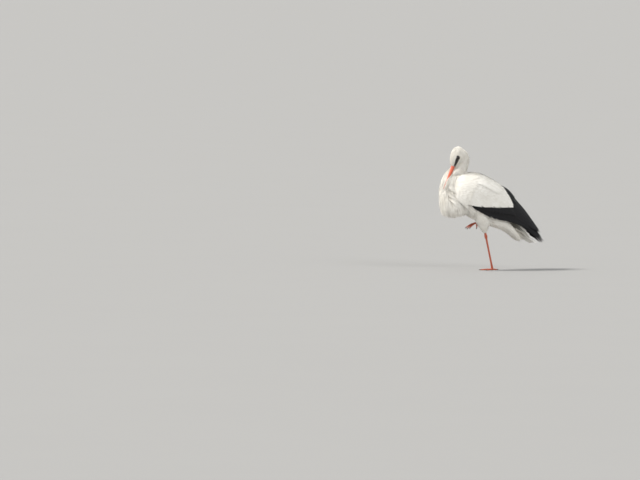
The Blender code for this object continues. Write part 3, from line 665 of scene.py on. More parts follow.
def foot_hub(ankle, foot, floor=None):
    """The ball of the foot, where the toes meet."""
    along = unit(foot - ankle)
    hub = [
        (*(foot - along * 0.008), 0.0054, 0.0062),
        (*foot, 0.0064, 0.0070),
        (*(foot + along * 0.004), 0.0060, 0.0060),
    ]
    return loft("hub", round_off(spline(hub, 3), 0.002), 24, floor=floor)


def make_legs():
    """Both bare legs as one closed mesh, smoothed where their parts meet."""
    pieces = leg_pieces(LEFT_KNEE, LEFT_ANKLE, LEFT_FOOT) + leg_pieces(RIGHT_KNEE, RIGHT_ANKLE, RIGHT_FOOT)
    pieces += standing_toes() + hanging_toes()
    pieces += [foot_hub(LEFT_ANKLE, LEFT_FOOT, 0.0), foot_hub(RIGHT_ANKLE, RIGHT_FOOT)]
    return melted(joined("legs", pieces), LEG_VOXEL)


# ---- feathers ------------------------------------------------------------------------------------
def vane_mesh(name, grid, thick, up, tint, uv_root):
    """Feathers as thin closed vanes. grid is (feathers, along, across, 3); up gives each point's normal."""
    count, m, k, _ = grid.shape
    inner = np.zeros((m, k), bool)
    inner[1:-1, 1:-1] = True
    under = grid - up * thick[:, None, None, None]
    points = np.concatenate([grid.reshape(count, -1, 3), under[:, inner]], axis=1)
    beneath = np.arange(m * k).reshape(m, k)
    beneath[inner] = m * k + np.arange(inner.sum())
    i, j = np.meshgrid(np.arange(m - 1), np.arange(k - 1), indexing="ij")
    a = (i * k + j).ravel()
    top = np.stack([a, a + k, a + k + 1, a + 1], axis=-1)
    quads = np.concatenate([top, beneath.ravel()[top][:, ::-1]])
    each = points.shape[1]
    faces = (quads[None] + (np.arange(count) * each)[:, None, None]).reshape(-1, 4)
    v, u = np.meshgrid(np.linspace(0, 1, m), np.linspace(0, 1, k), indexing="ij")
    place = np.stack([u, v], axis=-1)
    place = np.tile(np.concatenate([place.reshape(-1, 2), place[inner]])[None], (count, 1, 1))
    bake = uv_root[:, None] + (place - 0.5) * OFBAKE_PATCH
    obj = new_mesh(
        name, points, [faces],
        {"OFBake": bake.reshape(-1, 2), "vane": place.reshape(-1, 2)},
        {"tint": np.repeat(tint, each)},
    )
    rim = np.tile(np.concatenate([~inner.ravel(), np.zeros(inner.sum(), bool)]), count)
    ends = values_of(obj.data.edges, "vertices", 2, np.int32)
    sharp = obj.data.attributes.new("sharp_edge", "BOOLEAN", "EDGE")
    sharp.data.foreach_set("value", rim[ends].all(axis=1))
    return obj


def outline(s, point):
    """Half width of a vane at each share of its length. Point 0 has a broad round tip and 1 a fine one."""
    root = np.minimum(1, (s + 0.06) / 0.30) ** 0.8
    power, fall = 3.4 - 2.0 * point, 0.55 + 0.45 * point
    return root * np.maximum(1 - s**power, 0) ** fall


def surface_finder(obj):
    """A finder of the nearest surface point of the mesh, with smooth normals."""
    points, normals, triangles, _ = mesh_arrays(obj)
    tree = BVHTree.FromPolygons([Vector(p) for p in points], triangles.tolist())

    def nearest(where):
        found = [tree.find_nearest(Vector(p)) for p in where]
        places = np.array([f[0] for f in found])
        faces = np.array([f[2] for f in found])
        corners = points[triangles[faces]]
        weight = 1 / (np.linalg.norm(corners - places[:, None], axis=2) + 1e-4)
        normal = unit((normals[triangles[faces]] * weight[..., None]).sum(axis=1))
        return places, normal

    return nearest


def scatter_roots(skin):
    """Feather roots spread over the skin, closer where the feathers are small, with their OFBake places."""
    points, _, triangles, loops = mesh_arrays(skin)
    corners = points[triangles]
    one, two = corners[:, 1] - corners[:, 0], corners[:, 2] - corners[:, 0]
    area = 0.5 * np.linalg.norm(np.cross(one, two), axis=1)
    _, _, _, _, spacing = COAT.at(corners.mean(axis=1))
    odds = area / spacing**2
    tries = int(odds.sum() * 6.0)
    pick = RNG.choice(len(odds), tries, p=odds / odds.sum())
    r1, r2 = np.sqrt(RNG.random(tries)), RNG.random(tries)
    share = np.stack([1 - r1, r1 * (1 - r2), r1 * r2], axis=1)
    places = (corners[pick] * share[..., None]).sum(axis=1)
    gap = spacing[pick] * 0.80
    tree = KDTree(tries)
    for i, p in enumerate(places):
        tree.insert(p, i)
    tree.balance()
    leg = values_of(skin.data.attributes["leg"].data, "value", 1)[:, 0]
    alive = leg[triangles[pick, 0]] < 0.5
    for i in range(tries):
        if alive[i]:
            for _, j, _ in tree.find_range(places[i], gap[i]):
                if j > i:
                    alive[j] = False
    uv = values_of(skin.data.uv_layers["OFBake"].data, "uv", 2)[loops[pick]]
    return places[alive], (uv * share[..., None]).sum(axis=1)[alive]


def trimmed(path, normals, roots, depth, width, envelope):
    """Each shaft cut short where it would hang out past the coat's face and pressed in where it would stand
    out of it, with the steps along it that are kept."""
    count, steps = len(roots), path.shape[1] - 1
    share = np.linspace(0, 1, steps + 1)[None]
    flat = path.reshape(-1, 3)
    found, face = envelope(flat)
    outside = dot(flat - found, face).reshape(count, -1)
    face = face.reshape(path.shape)
    loose = RNG.uniform(0, 0.004, (count, 1)) * (width > 0.005)[:, None]
    allowed = np.maximum(0.0015 + 0.10 * depth, 0.0080 - 1.2 * depth)[:, None] + loose
    leaving = dot(unit(np.gradient(path, axis=1)), face) > 0.5
    hanging = smoothstep(0.420, 0.370, roots[:, 2]) * smoothstep(-0.140, -0.180, roots[:, 1])
    allowed = allowed + (0.018 * hanging * RNG.random(count))[:, None]
    over = (outside > allowed) & leaving & (share > 0.2)
    push = np.maximum(outside - allowed, 0) * (1 - leaving) * smoothstep(0, 0.25, share)
    path = path - face * push[..., None]
    first = np.where(over.any(axis=1), over.argmax(axis=1), steps)
    reach = np.where(over.any(axis=1), np.maximum(first - 0.5, 1.6), steps)
    at = share * reach[:, None]
    low = np.minimum(at.astype(int), steps - 1)
    part = (at - low)[..., None]
    pick = np.arange(count)[:, None]
    path = path[pick, low] * (1 - part) + path[pick, low + 1] * part
    normals = unit(normals[pick, low] * (1 - part) + normals[pick, low + 1] * part)
    return path, normals, reach


def lay_feathers(roots, nearest, envelope, along=6):
    """Runs each feather's shaft from its root over the skin the way the coat lies, and lifts it to the coat's
    face. Gives the shafts, the normals on them, and the feathers' widths and lengths."""
    heading, depth, length, width, _ = COAT.at(roots)
    count = len(roots)
    length = length * RNG.uniform(0.85, 1.15, count)
    place, normal = nearest(roots)
    path, normals = [roots], [normal]
    for _ in range(along):
        lean = dot(heading, normal)
        flow = unit(heading - normal * lean[:, None] * (1 - smoothstep(0.45, 0.9, lean))[:, None])
        ahead = place + flow * (length / along)[:, None]
        found, fresh = nearest(ahead)
        cling = (1 - smoothstep(0.30, 0.75, dot(heading, fresh)))[:, None]
        place = ahead + (found - ahead) * cling
        normal = unit(normal * (1 - cling) + fresh * cling)
        path.append(place)
        normals.append(normal)
        heading = COAT.at(place)[0]
    path, normals = np.stack(path, axis=1), np.stack(normals, axis=1)
    share = np.linspace(0, 1, along + 1)
    height = depth[:, None] * (0.12 + 0.92 * share[None] ** 0.85) - 0.0005 * (1 - share[None])
    height = height * RNG.uniform(0.90, 1.06, (count, 1))
    path, normals, reach = trimmed(path + normals * height[..., None], normals, roots, depth, width, envelope)
    return path, normals, width * np.clip(reach / along + 0.25, 0.5, 1), length * reach / along


def feather_coat(name, path, normals, width, uv, across, tint, point, camber=0.30, twist=8.0):
    """Vanes on these shafts, cambered and each turned a little its own way."""
    count, m, _ = path.shape
    ahead = unit(np.gradient(path, axis=1))
    side = unit(np.cross(ahead, normals))
    normal = np.cross(side, ahead)
    roll = np.radians(RNG.normal(0, twist, count))[:, None, None]
    side, normal = side * np.cos(roll) + normal * np.sin(roll), normal * np.cos(roll) - side * np.sin(roll)
    share = np.linspace(0, 1, m)
    half = 0.5 * width[:, None] * outline(share[None], point[:, None])
    half = np.maximum(half, 0.00025)
    u = np.linspace(-1, 1, across)
    ragged = RNG.normal(0, 0.05, (count, m, across)) * (share[None, :, None] > 0.5)
    lag = -(u[None, None, :] ** 2) * (0.35 * half[..., None]) * (1 + 3 * share[None, :, None] ** 4)
    grid = path[:, :, None] + side[:, :, None] * (half[..., None] * u * (1 + ragged))[..., None]
    grid = grid - normal[:, :, None] * (camber * half[..., None] * u**2)[..., None]
    grid = grid + ahead[:, :, None] * lag[..., None]
    up = np.broadcast_to(normal[:, :, None], grid.shape)
    thick = np.clip(width * 0.07, 0.00015, 0.0006)
    return vane_mesh(name, grid, thick, up, tint, uv)


def wing_vanes(name, side, rows, along, across, thick, point):
    """Feathers that lie in the folded wing's surface. Each row: root reach and degrees, tip reach and
    degrees, width, root depth, tip depth, tilt, tint."""
    rows = np.array(rows, float)
    r0, a0, r1, a1, width, d0, d1, tilt = (rows[:, k, None, None] for k in range(8))
    s = np.linspace(0, 1, along)[None, :, None]
    u = np.linspace(-1, 1, across)[None, None, :]
    ease = s**1.15
    reach, degrees = r0 + (r1 - r0) * s, a0 + (a1 - a0) * ease
    around = wing_point(1, reach, degrees + 1, 0.0) - wing_point(1, reach, degrees - 1, 0.0)
    metres = np.linalg.norm(around, axis=-1) / 2
    run, fall = (r1 - r0), (a1 - a0) * metres
    size = np.sqrt(run**2 + fall**2)
    half = 0.5 * width * np.maximum(outline(s, point), 0.02)
    ragged = 1 + RNG.normal(0, 0.018, (len(rows), along, 1)) * (s > 0.4)
    offset = half * u * ragged
    lag = -(np.abs(u) ** 2.2) * half * 0.30 * (0.3 + 1.7 * s**3)
    reach_g = reach - fall / size * offset + run / size * lag
    degrees_g = degrees + (run / size * offset + fall / size * lag) / metres
    depth = d0 + (d1 - d0) * s - tilt * u + 0.10 * half * u**2
    top = wing_point(side, reach_g, degrees_g, depth)
    under = wing_point(side, reach_g, degrees_g, depth + thick)
    place = 0.75 * rows[:, 0] + 0.25 * rows[:, 2], 0.75 * rows[:, 1] + 0.25 * rows[:, 3]
    uv_root = np.stack([(place[0] + 0.10) / 0.80, (place[1] + 20) / 200], axis=-1)
    up = (top - under) / thick
    if side < 0:
        top, up = top[:, :, ::-1], up[:, :, ::-1]
    return vane_mesh(name, top, np.full(len(rows), thick), up, rows[:, 8], uv_root)


def make_bill_nest():
    """Feathers of the ruff that close over the sides of the bill's lower half, leaving a line of it bare."""
    paths, normals = [], []
    u = np.linspace(0, 1, 9)
    for side in (1, -1):
        for start in np.arange(-0.046, -0.140, -0.0090):
            for last in ((50, 92) if side > 0 else (70, 100)):
                reach = start - RNG.uniform(0, 0.009) - RNG.uniform(0.040, 0.060) * u
                t = np.clip((BILL_ROOT - reach) / (BILL_LENGTH + BILL_ROOT), 0, 1)
                size = np.interp(t, (0.4, 1.0), (0.0088, 0.0020))
                first, last = 122 + RNG.normal(0, 9), last + RNG.normal(0, 9)
                angle = np.radians(first + (last - first) * smoothstep(0, 1, u))
                rise = 0.0130 * (1 - u) ** 1.5 + 0.0010 + 0.0040 * u**2 * RNG.random()
                outward = CROWN * np.cos(angle)[:, None] + ASIDE * (side * np.sin(angle))[:, None]
                paths.append(head_point(reach) + outward * (size + rise)[:, None])
                normals.append(outward)
    count = len(paths)
    uv = np.stack([RNG.random(count), RNG.random(count)], axis=-1) * 0.01 + (0.985, 0.985)
    width, point = RNG.uniform(0.0040, 0.0068, count), np.full(count, 0.85)
    tint = RNG.random(count)
    nest = feather_coat("ruff_round_bill", np.array(paths), np.array(normals), width, uv, 3, tint, point)
    finish_piece(nest, "soft_vane", slot="white_plumage")


# ---- wing tracts ---------------------------------------------------------------------------------
def white_covert_rows():
    """Small feathers over the front of the wing, growing backwards to the sharp edge of the black."""
    rows = []
    steps = np.linspace(0, 1, 15) ** 1.05
    for k, u in enumerate(steps):
        size = 0.024 + 0.036 * u
        width = 0.013 + 0.009 * u
        spacing = 2.7 + 1.5 * u
        for a in np.arange(4 + (k % 2) * 0.5 * spacing, 133, spacing):
            a = a + RNG.normal(0, 0.8)
            (front,), (back,) = looked_up(WHITE_FRONT, a, 1), looked_up(WHITE_BACK, a, 1)
            tip = front + 0.012 + (back - front - 0.012) * u + RNG.normal(0, 0.0035) * (1 - u**6)
            grow = RNG.uniform(0.92, 1.1)
            slant = 2.0 + 3.5 * smoothstep(60, 120, a) - 3.0 * smoothstep(60, 20, a)
            root, wide = tip - size * grow, width * grow
            rows.append((root, a - slant, tip, a, wide, 0.0040, 0.0018, 0.0005, RNG.random()))
    return rows


def scapular_rows():
    """Long white feathers from the shoulder over the top of the wing, whose lower edge stands proud."""
    rows = []
    for k, u in enumerate(np.linspace(0.12, 1, 8)):
        for a in np.arange(6 + (k % 2) * 3.0, 68, 6.0):
            (edge,) = looked_up(WHITE_BACK, a, 1)
            back = min(edge - 0.004, 0.226 - 0.0012 * max(0, a - 50))
            tip = 0.060 + (back - 0.060) * u + RNG.normal(0, 0.0025)
            size = 0.050 + 0.045 * u
            width, lift = 0.018 + 0.007 * u, 0.0020 * smoothstep(52, 66, a)
            root = (tip - size, 0.88 * a + 1)
            rows.append((*root, tip, a, width, 0.0030, -0.0006 - lift, 0.0007, RNG.random()))
    return rows


def shoulder_rows():
    """Soft feathers from the side of the breast, laid back over the bend of the wing."""
    rows = []
    for k, tip in enumerate(np.arange(-0.022, 0.050, 0.009)):
        for a in np.arange(24 + 2 * (k % 2), 156, 4.0):
            reach = tip + RNG.normal(0, 0.003 + 0.10 * max(0, tip)) + 0.012 * smoothstep(108, 150, a)
            slant = RNG.normal(0, 0.8) + 3.0
            width = 0.012 * RNG.uniform(0.9, 1.1)
            rows.append((reach - 0.046, a - slant, reach, a, width, 0.0050, -0.0012, 0.0005, RNG.random()))
    return rows


def across_wing(reach, share):
    """The angle from the ridge at this share of the way over the black part of the wing."""
    low, high = looked_up(BLACK_EDGES, reach, 1, 2)
    return low + (high - low) * share


def long_rows(tips, share_root, share_tip, length, width, depth, step, tilt):
    """Long feathers, each one's vane a little deeper in the wing than the last one's."""
    rows = []
    for i, tip in enumerate(tips):
        root = max(tip - length, 0.0)
        a0, a1 = across_wing(root + 0.03, share_root[i]), across_wing(tip, share_tip[i])
        deep, wide = depth + step * i, width * RNG.uniform(0.96, 1.04)
        rows.append((root, a0, tip, a1, wide, deep + 0.002, deep, tilt, RNG.random()))
    return rows


def black_rows():
    """Rows of the tertials, the secondaries, the greater coverts and the innermost upper feathers."""
    tertials = long_rows(
        [0.585, 0.598, 0.594, 0.578, 0.555], [0.10, 0.22, 0.34, 0.46, 0.58], [0.16, 0.34, 0.50, 0.64, 0.76],
        length=0.34, width=0.050, depth=0.0070, step=0.0006, tilt=0.0011,
    )
    tips = np.arange(0.525, 0.10, -0.033)
    secondaries = long_rows(
        tips, np.full(len(tips), 0.80), np.full(len(tips), 0.955),
        length=0.21, width=0.034, depth=0.0105, step=0.0004, tilt=0.0010,
    )
    tips = np.arange(0.375, 0.085, -0.0215)
    greater = long_rows(
        tips, np.full(len(tips), 0.62), np.linspace(0.74, 0.90, len(tips)),
        length=0.105, width=0.030, depth=0.0058, step=0.00008, tilt=0.0010,
    )
    upper = long_rows(
        [0.345, 0.350, 0.355, 0.358], [0.06, 0.18, 0.30, 0.44], [0.10, 0.24, 0.38, 0.52],
        length=0.16, width=0.040, depth=0.0050, step=0.0003, tilt=0.0010,
    )
    return tertials, secondaries, greater, upper


def primary_rows():
    """The long feathers of the wing's tip, under all the others."""
    rows = []
    for i, (tip, degrees) in enumerate(PRIMARY_TIPS):
        deep = 0.0140 + 0.0012 * i
        rows.append((0.30 + 0.004 * i, 84 + i, tip, degrees, 0.030, 0.0200, deep, 0.0008, RNG.random()))
    return rows


def make_wing(word, side):
    """The feathers of one folded wing, tract by tract from the front to the tip."""
    small, long = {"across": 5, "thick": 0.0004}, {"along": 24, "across": 9, "thick": 0.0006}
    white = wing_vanes(f"white_coverts_{word}", side, white_covert_rows(), along=7, point=0.12, **small)
    finish_piece(white, "white_vane", f"wing_{word}_coverts", slot="white_plumage")
    scapulars = wing_vanes(f"scapulars_{word}", side, scapular_rows(), along=9, point=0.2, **small)
    finish_piece(scapulars, "white_vane", slot="white_plumage")
    shoulder = wing_vanes(f"shoulder_feathers_{word}", side, shoulder_rows(), along=9, point=0.45, **small)
    finish_piece(shoulder, "soft_vane", slot="white_plumage")
    tertials, secondaries, greater, upper = black_rows()
    flight = wing_vanes(f"flight_feathers_{word}", side, secondaries + tertials + upper, point=0.10, **long)
    finish_piece(flight, "black_vane", f"wing_{word}_secondaries", slot="black_plumage")
    coverts = wing_vanes(f"black_coverts_{word}", side, greater, along=14, across=7, thick=0.0005, point=0.10)
    finish_piece(coverts, "black_vane", slot="black_plumage")
    primaries = wing_vanes(f"primaries_{word}", side, primary_rows(), point=0.18, **long)
    finish_piece(primaries, "black_vane", f"wing_{word}_primaries", slot="black_plumage")


# ---- tail ----------------------------------------------------------------------------------------
def fan(root, tip, pairs, spread, vane, roof, step, along=20, across=7, point=0.05, splay=0.95):
    """Pairs of feathers side by side from one root, each pair a little under the one inside it."""
    root = np.array(root)
    axis = np.array(tip) - root
    length, ahead = np.linalg.norm(axis), unit(axis)
    upward = np.cross((1.0, 0.0, 0.0), ahead)
    grids, ups, roots = [], [], []
    s, u = np.linspace(0, 1, along)[:, None], np.linspace(-1, 1, across)[None, :]
    for i in range(pairs):
        for side in (1, -1):
            share = side * (0.12 + 0.88 * i / max(1, pairs - 1)) * splay
            middle = (spread[0] + (spread[1] - spread[0]) * smoothstep(0, 0.8, s)) * share
            half = 0.5 * vane * np.maximum(outline(s, point), 0.03)
            x = middle + half * u
            reach = length * s * (1 - 0.05 * share**2) - half * np.abs(u) ** 2.2 * 0.3 * s**3
            layer = step * (i + 0.5 * (side < 0))
            drop = roof * (x / spread[1]) ** 2 * (0.4 + 0.6 * s) + layer + 0.0010 * u * side
            grid = root + ahead * reach[..., None] - upward * drop[..., None]
            grid[..., 0] += x
            grids.append(grid[:, ::-1] if upward[2] > 0 else grid)
            ups.append(np.broadcast_to(upward, grid.shape))
            roots.append((0.5 + 0.4 * share, 0.1 + 0.06 * i))
    return np.array(grids), np.array(ups), np.array(roots)


def make_fan(name, layers, *nodes, material="white_vane"):
    """One piece from fans of feathers that lie over each other."""
    grid, up, roots = (np.concatenate(part) for part in zip(*layers))
    count = len(grid)
    obj = vane_mesh(name, grid, np.full(count, 0.0006), up, RNG.random(count), roots)
    finish_piece(obj, material, *nodes, slot="white_plumage")


def make_tail():
    """Twelve broad tail feathers, and the shorter coverts that lie over and under their roots."""
    broad = fan(TAIL_ROOT, TAIL_TIP, pairs=6, spread=(0.016, 0.043), vane=0.034, roof=0.010, step=0.0010)
    make_fan("tail_feathers", [broad], "tail")
    over, under = [], []
    for root, tip, pairs, spread in (
        ((0, 0.110, 0.345), (0, 0.270, 0.238), 5, (0.022, 0.044)),
        ((0, 0.120, 0.335), (0, 0.292, 0.214), 5, (0.020, 0.043)),
        ((0, 0.125, 0.320), (0, 0.306, 0.196), 6, (0.018, 0.042)),
    ):
        shape = {"vane": 0.028, "roof": 0.010, "step": 0.0008, "point": 0.2}
        over.append(fan(root, tip, pairs, spread, along=14, across=5, **shape))
    for root, tip, pairs, spread in (
        ((0, 0.130, 0.262), (0, 0.246, 0.178), 5, (0.016, 0.034)),
        ((0, 0.110, 0.262), (0, 0.232, 0.166), 5, (0.018, 0.032)),
        ((0, 0.130, 0.276), (0, 0.272, 0.184), 5, (0.016, 0.036)),
    ):
        shape = {"vane": 0.024, "roof": -0.010, "step": -0.0008, "point": 0.35}
        under.append(fan(root, tip, pairs, spread, along=14, across=5, **shape))
    make_fan("tail_coverts", over)
    make_fan("undertail_coverts", under, material="soft_vane")


# ---- bill and eyes -------------------------------------------------------------------------------
def mandible(name, upper):
    """One half of the bill: a long D shaped taper with its cutting edge, nostril and side groove."""
    rings, arc, inner = 96, 30, 6
    grid = []
    for t in np.linspace(0, 1, rings):
        reach = BILL_ROOT - t * (BILL_LENGTH + BILL_ROOT)
        narrow = (1 - t) ** 0.80 * (0.94 if t else 1.0) + 0.045
        wide, deep = 0.5 * BILL_WIDTH * narrow, 0.5 * BILL_DEPTH * narrow
        level = -0.0010 * math.sin(math.pi * t) - 0.0012 * narrow
        angle = np.linspace(0, math.pi, arc)
        ridge = 1.0 + 0.05 * np.exp(-(((angle - math.pi / 2) / 0.16) ** 2))
        lip = 1.0 if upper else 0.955
        x = wide * lip * np.sign(np.cos(angle)) * np.abs(np.cos(angle)) ** 0.86
        y = (deep + (0.0012 if upper else -0.0012) * narrow) * np.sin(angle) ** 0.92 * ridge
        slope = np.minimum(angle, math.pi - angle)
        groove = 0.00035 * np.exp(-(((slope - 0.62) / 0.10) ** 2)) * (1 - smoothstep(0.45, 0.75, t))
        slit = smoothstep(0.145, 0.165, t) * (1 - smoothstep(0.215, 0.245, t))
        nostril = 0.0013 * np.exp(-(((slope - 0.80) / 0.085) ** 2)) * slit * upper
        inward = (groove + nostril) / np.maximum(np.hypot(x, y), 1e-5)
        x, y = x * (1 - inward), y * (1 - inward)
        back = np.linspace(-1, 1, inner + 2)[1:-1] * wide * lip * 0.96
        x = np.concatenate([x, back])
        y = np.concatenate([y, np.full(inner, 0.0004 if upper else 0.0002)])
        grid.append(head_point(reach, level + (y if upper else -y), x))
    faces = ring_faces(rings, arc + inner)
    if upper:
        faces = [f[:, ::-1] for f in faces]
    return new_mesh(name + "_horn", np.array(grid), faces)


def eyeball(side):
    """The eye with its cornea standing a little proud, and a map from the middle of the pupil outwards."""
    rings, steps = 40, 48
    centre, axis, back, up = eye_frame(side)
    polar = np.linspace(0.015, math.pi - 0.015, rings)[:, None]
    turn = np.linspace(0, 2 * np.pi, steps, endpoint=False)[None, :]
    radius = (EYE_RADIUS - 0.0002) * (1 + 0.045 * np.exp(-((polar / 0.55) ** 2)))
    spread = (radius * np.sin(polar))[..., None]
    points = centre + axis * (radius * np.cos(polar) * np.ones_like(turn))[..., None]
    points = points + spread * (back * np.cos(turn)[..., None] + up * np.sin(turn)[..., None])
    faces = ring_faces(rings, steps)
    gaze = np.broadcast_arrays(polar / math.pi, turn / (2 * math.pi))
    gaze = np.stack(gaze, axis=-1).reshape(-1, 2)
    word = "left" if side > 0 else "right"
    if np.linalg.det([back, up, axis]) > 0:
        faces = [f[:, ::-1] for f in faces]
    obj = new_mesh(f"eye_{word}_ball", points, faces, {"gaze": gaze})
    finish_piece(obj, "eye", f"eye_{word}", slot="eye")


# ---- materials -----------------------------------------------------------------------------------
class Nodes:
    """A short way to add and link the nodes of one tree."""

    def __init__(self, tree):
        self.tree = tree

    def put(self, socket, value):
        """Feeds a socket from another one, or gives it a constant."""
        if isinstance(value, bpy.types.NodeSocket):
            self.tree.links.new(value, socket)
        else:
            socket.default_value = value

    def add(self, kind, settings=None, **inputs):
        """A new node, with its inputs by their own names or by their order as i0, i1 and so on."""
        node = self.tree.nodes.new(kind)
        for key, value in (settings or {}).items():
            setattr(node, key, value)
        for key, value in inputs.items():
            numbered = key[0] == "i" and key[1:].isdigit()
            self.put(node.inputs[int(key[1:]) if numbered else key.replace("_", " ")], value)
        return node

    def math(self, operation, a, b=0.0, c=0.0):
        return self.add("ShaderNodeMath", {"operation": operation}, i0=a, i1=b, i2=c).outputs[0]

    def ramp(self, value, low, high):
        """0 to 1, smoothly, as the value goes from low to high."""
        smooth = {"interpolation_type": "SMOOTHSTEP"}
        return self.add("ShaderNodeMapRange", smooth, Value=value, From_Min=low, From_Max=high).outputs[0]

    def mix(self, share, a, b):
        """The colour a with this share of the colour b."""
        node = self.add("ShaderNodeMix", {"data_type": "RGBA"}, i0=share)
        for socket, value in ((node.inputs[6], a), (node.inputs[7], b)):
            self.put(socket, (*value, 1.0) if isinstance(value, tuple) else value)
        return node.outputs[2]

    def noise(self, vector, scale, detail=4.0, rough=0.5):
        inputs = {"Vector": vector, "Scale": scale, "Detail": detail, "Roughness": rough}
        return self.add("ShaderNodeTexNoise", **inputs).outputs[0]

    def coordinates(self):
        return self.add("ShaderNodeTexCoord").outputs["Object"]

    def attribute(self, name):
        return self.add("ShaderNodeAttribute", {"attribute_name": name}).outputs["Fac"]


def new_group(name, inputs, outputs):
    """A node group with these named inputs and outputs, and the short way to fill it."""
    group = bpy.data.node_groups.new(name, "ShaderNodeTree")
    for label, kind in inputs.items():
        group.interface.new_socket(label, in_out="INPUT", socket_type=kind)
    for label in outputs:
        group.interface.new_socket(label, in_out="OUTPUT", socket_type="NodeSocketFloat")
    n = Nodes(group)
    return group, n, n.add("NodeGroupInput").outputs, n.add("NodeGroupOutput").inputs


def barb_group():
    """Feather structure from the vane's own map: slanting barbs, and masks of the shaft, of the rim and of
    the root, where painted shade goes.
    """
    inputs = {"Vane map": "NodeSocketVector", "Barbs": "NodeSocketFloat", "Slant": "NodeSocketFloat"}
    group, n, given, result = new_group("Feather barbs", inputs, ("Height", "Shaft", "Rim", "Root shade"))
    split = n.add("ShaderNodeSeparateXYZ", Vector=given["Vane map"]).outputs
    across = n.math("ABSOLUTE", n.math("MULTIPLY_ADD", split[0], 2.0, -1.0))
    along = n.math("SUBTRACT", split[1], n.math("MULTIPLY", across, given["Slant"]))
    line = n.math("SINE", n.math("MULTIPLY", n.math("MULTIPLY", along, given["Barbs"]), 2 * math.pi))
    shaft = n.ramp(across, 0.10, 0.02)
    place = n.add("ShaderNodeCombineXYZ", X=n.math("MULTIPLY", along, 9.0), Y=split[0])
    clump = n.noise(place.outputs[0], 2.0, 3.0)
    height = n.math("ADD", n.math("MULTIPLY", line, 0.30), n.math("MULTIPLY", clump, 0.9))
    n.put(result["Height"], n.math("MULTIPLY_ADD", shaft, 0.8, height))
    n.put(result["Shaft"], shaft)
    n.put(result["Rim"], n.ramp(across, 0.80, 1.0))
    # Strongest at the root and fading towards the tip: the mask of the shade painted where overlying feathers
    # cover the vane.
    n.put(result["Root shade"], n.ramp(split[1], 0.62, 0.15))
    return group


def grain_group():
    """Fine growth lines and mottling for horn and skin, from object coordinates."""
    inputs = {"Place": "NodeSocketVector", "Scale": "NodeSocketFloat"}
    group, n, given, result = new_group("Grain", inputs, ("Height", "Mottle"))
    n.put(result["Height"], n.noise(given["Place"], given["Scale"], 5.0, 0.6))
    n.put(result["Mottle"], n.noise(given["Place"], n.math("MULTIPLY", given["Scale"], 0.12), 3.0))
    return group


BARBS, GRAIN = barb_group(), grain_group()


def grained(n, scale, place=None):
    """The height and mottling of a grain of this scale, on object coordinates if no place is given."""
    place = n.coordinates() if place is None else place
    return n.add("ShaderNodeGroup", {"node_tree": GRAIN}, Place=place, Scale=scale).outputs


def new_material(name, roughness, **constants):
    """A material with its Principled shader, whose constant values sit on the shader's own sockets."""
    material = bpy.data.materials.new(name)
    material.use_nodes = True
    nodes = Nodes(material.node_tree)
    shader = material.node_tree.nodes["Principled BSDF"]
    shader.inputs["Roughness"].default_value = roughness
    for key, value in constants.items():
        shader.inputs[key.replace("_", " ")].default_value = value
    return nodes, shader


def connect(n, shader, colour, height=None, strength=0.3, distance=0.0005):
    """Feeds the shader its colour and, from a height, its bumps."""
    n.put(shader.inputs["Base Color"], colour)
    if height is not None:
        bump = n.add("ShaderNodeBump", Height=height, Strength=strength, Distance=distance)
        n.put(shader.inputs["Normal"], bump.outputs[0])


def feather_material(name, body, deep, rim, shaft, barbs, roughness, strength, **constants):
    """Colours of the vane's face; of its hidden root, darkened there as painted shade, with the same dark
    colour in random patches and tints; of its lighter rim; and of its shaft.
    """
    n, shader = new_material(name, roughness, **constants)
    place = n.add("ShaderNodeUVMap", {"uv_map": "vane"}).outputs[0]
    group = n.add("ShaderNodeGroup", {"node_tree": BARBS}, Vane_map=place, Barbs=barbs, Slant=0.16).outputs
    patches = n.ramp(n.noise(n.coordinates(), 14.0, 3.0), 0.45, 0.75)
    colour = body
    for mask, share, tone in (
        # Painted shade: each vane's hidden root is darkened towards the dark colour.
        (group["Root shade"], 0.8, deep),
        (patches, 0.5, deep),
        (n.attribute("tint"), 0.30, deep),
        # Lighter rims: on the black vanes a painted sheen together with brownish wear.
        (group["Rim"], 0.7, rim),
        (group["Shaft"], 0.55, shaft),
    ):
        colour = n.mix(n.math("MULTIPLY", mask, share), colour, tone)
    connect(n, shader, colour, group["Height"], strength, 0.0006)


def feather_materials():
    """White contour feathers, softer white ones, and the wing's dull black ones."""
    # Each call gives the face colour, the dark colour used for the painted root shade and for random patches
    # and tints, the rim colour and the shaft colour.
    feather_material(
        "white_vane", (0.88, 0.865, 0.82), (0.66, 0.63, 0.56), (0.93, 0.92, 0.89), (0.80, 0.77, 0.70),
        barbs=46.0, roughness=0.78, strength=0.35,
    )
    feather_material(
        "soft_vane", (0.89, 0.87, 0.82), (0.70, 0.66, 0.58), (0.93, 0.92, 0.88), (0.84, 0.81, 0.74),
        barbs=26.0, roughness=0.85, strength=0.30,
    )
    # The black vanes' rim colour is a painted sheen together with brownish wear.
    feather_material(
        "black_vane",
        (0.009, 0.009, 0.011), (0.006, 0.006, 0.007), (0.036, 0.034, 0.033), (0.003, 0.003, 0.003),
        barbs=90.0, roughness=0.50, strength=0.5, Specular_IOR_Level=0.25,
    )


def skin_material():
    """Pale skin under the coat, red on the legs and dark on the bare face."""
    n, shader = new_material("skin", 0.62)
    grain = grained(n, 900.0)
    red = n.mix(n.ramp(grain["Mottle"], 0.35, 0.7), (0.46, 0.085, 0.045), (0.58, 0.17, 0.10))
    colour = n.mix(n.attribute("leg"), (0.72, 0.69, 0.62), red)
    colour = n.mix(n.attribute("face"), colour, (0.020, 0.017, 0.016))
    connect(n, shader, colour, grain["Height"], 0.35, 0.0004)


def leg_scale_material():
    n, shader = new_material("leg_scale", 0.50)
    grain = grained(n, 1500.0)
    colour = n.mix(n.ramp(grain["Mottle"], 0.3, 0.7), (0.52, 0.085, 0.040), (0.62, 0.19, 0.11))
    connect(n, shader, colour, grain["Height"], 0.2, 0.0003)


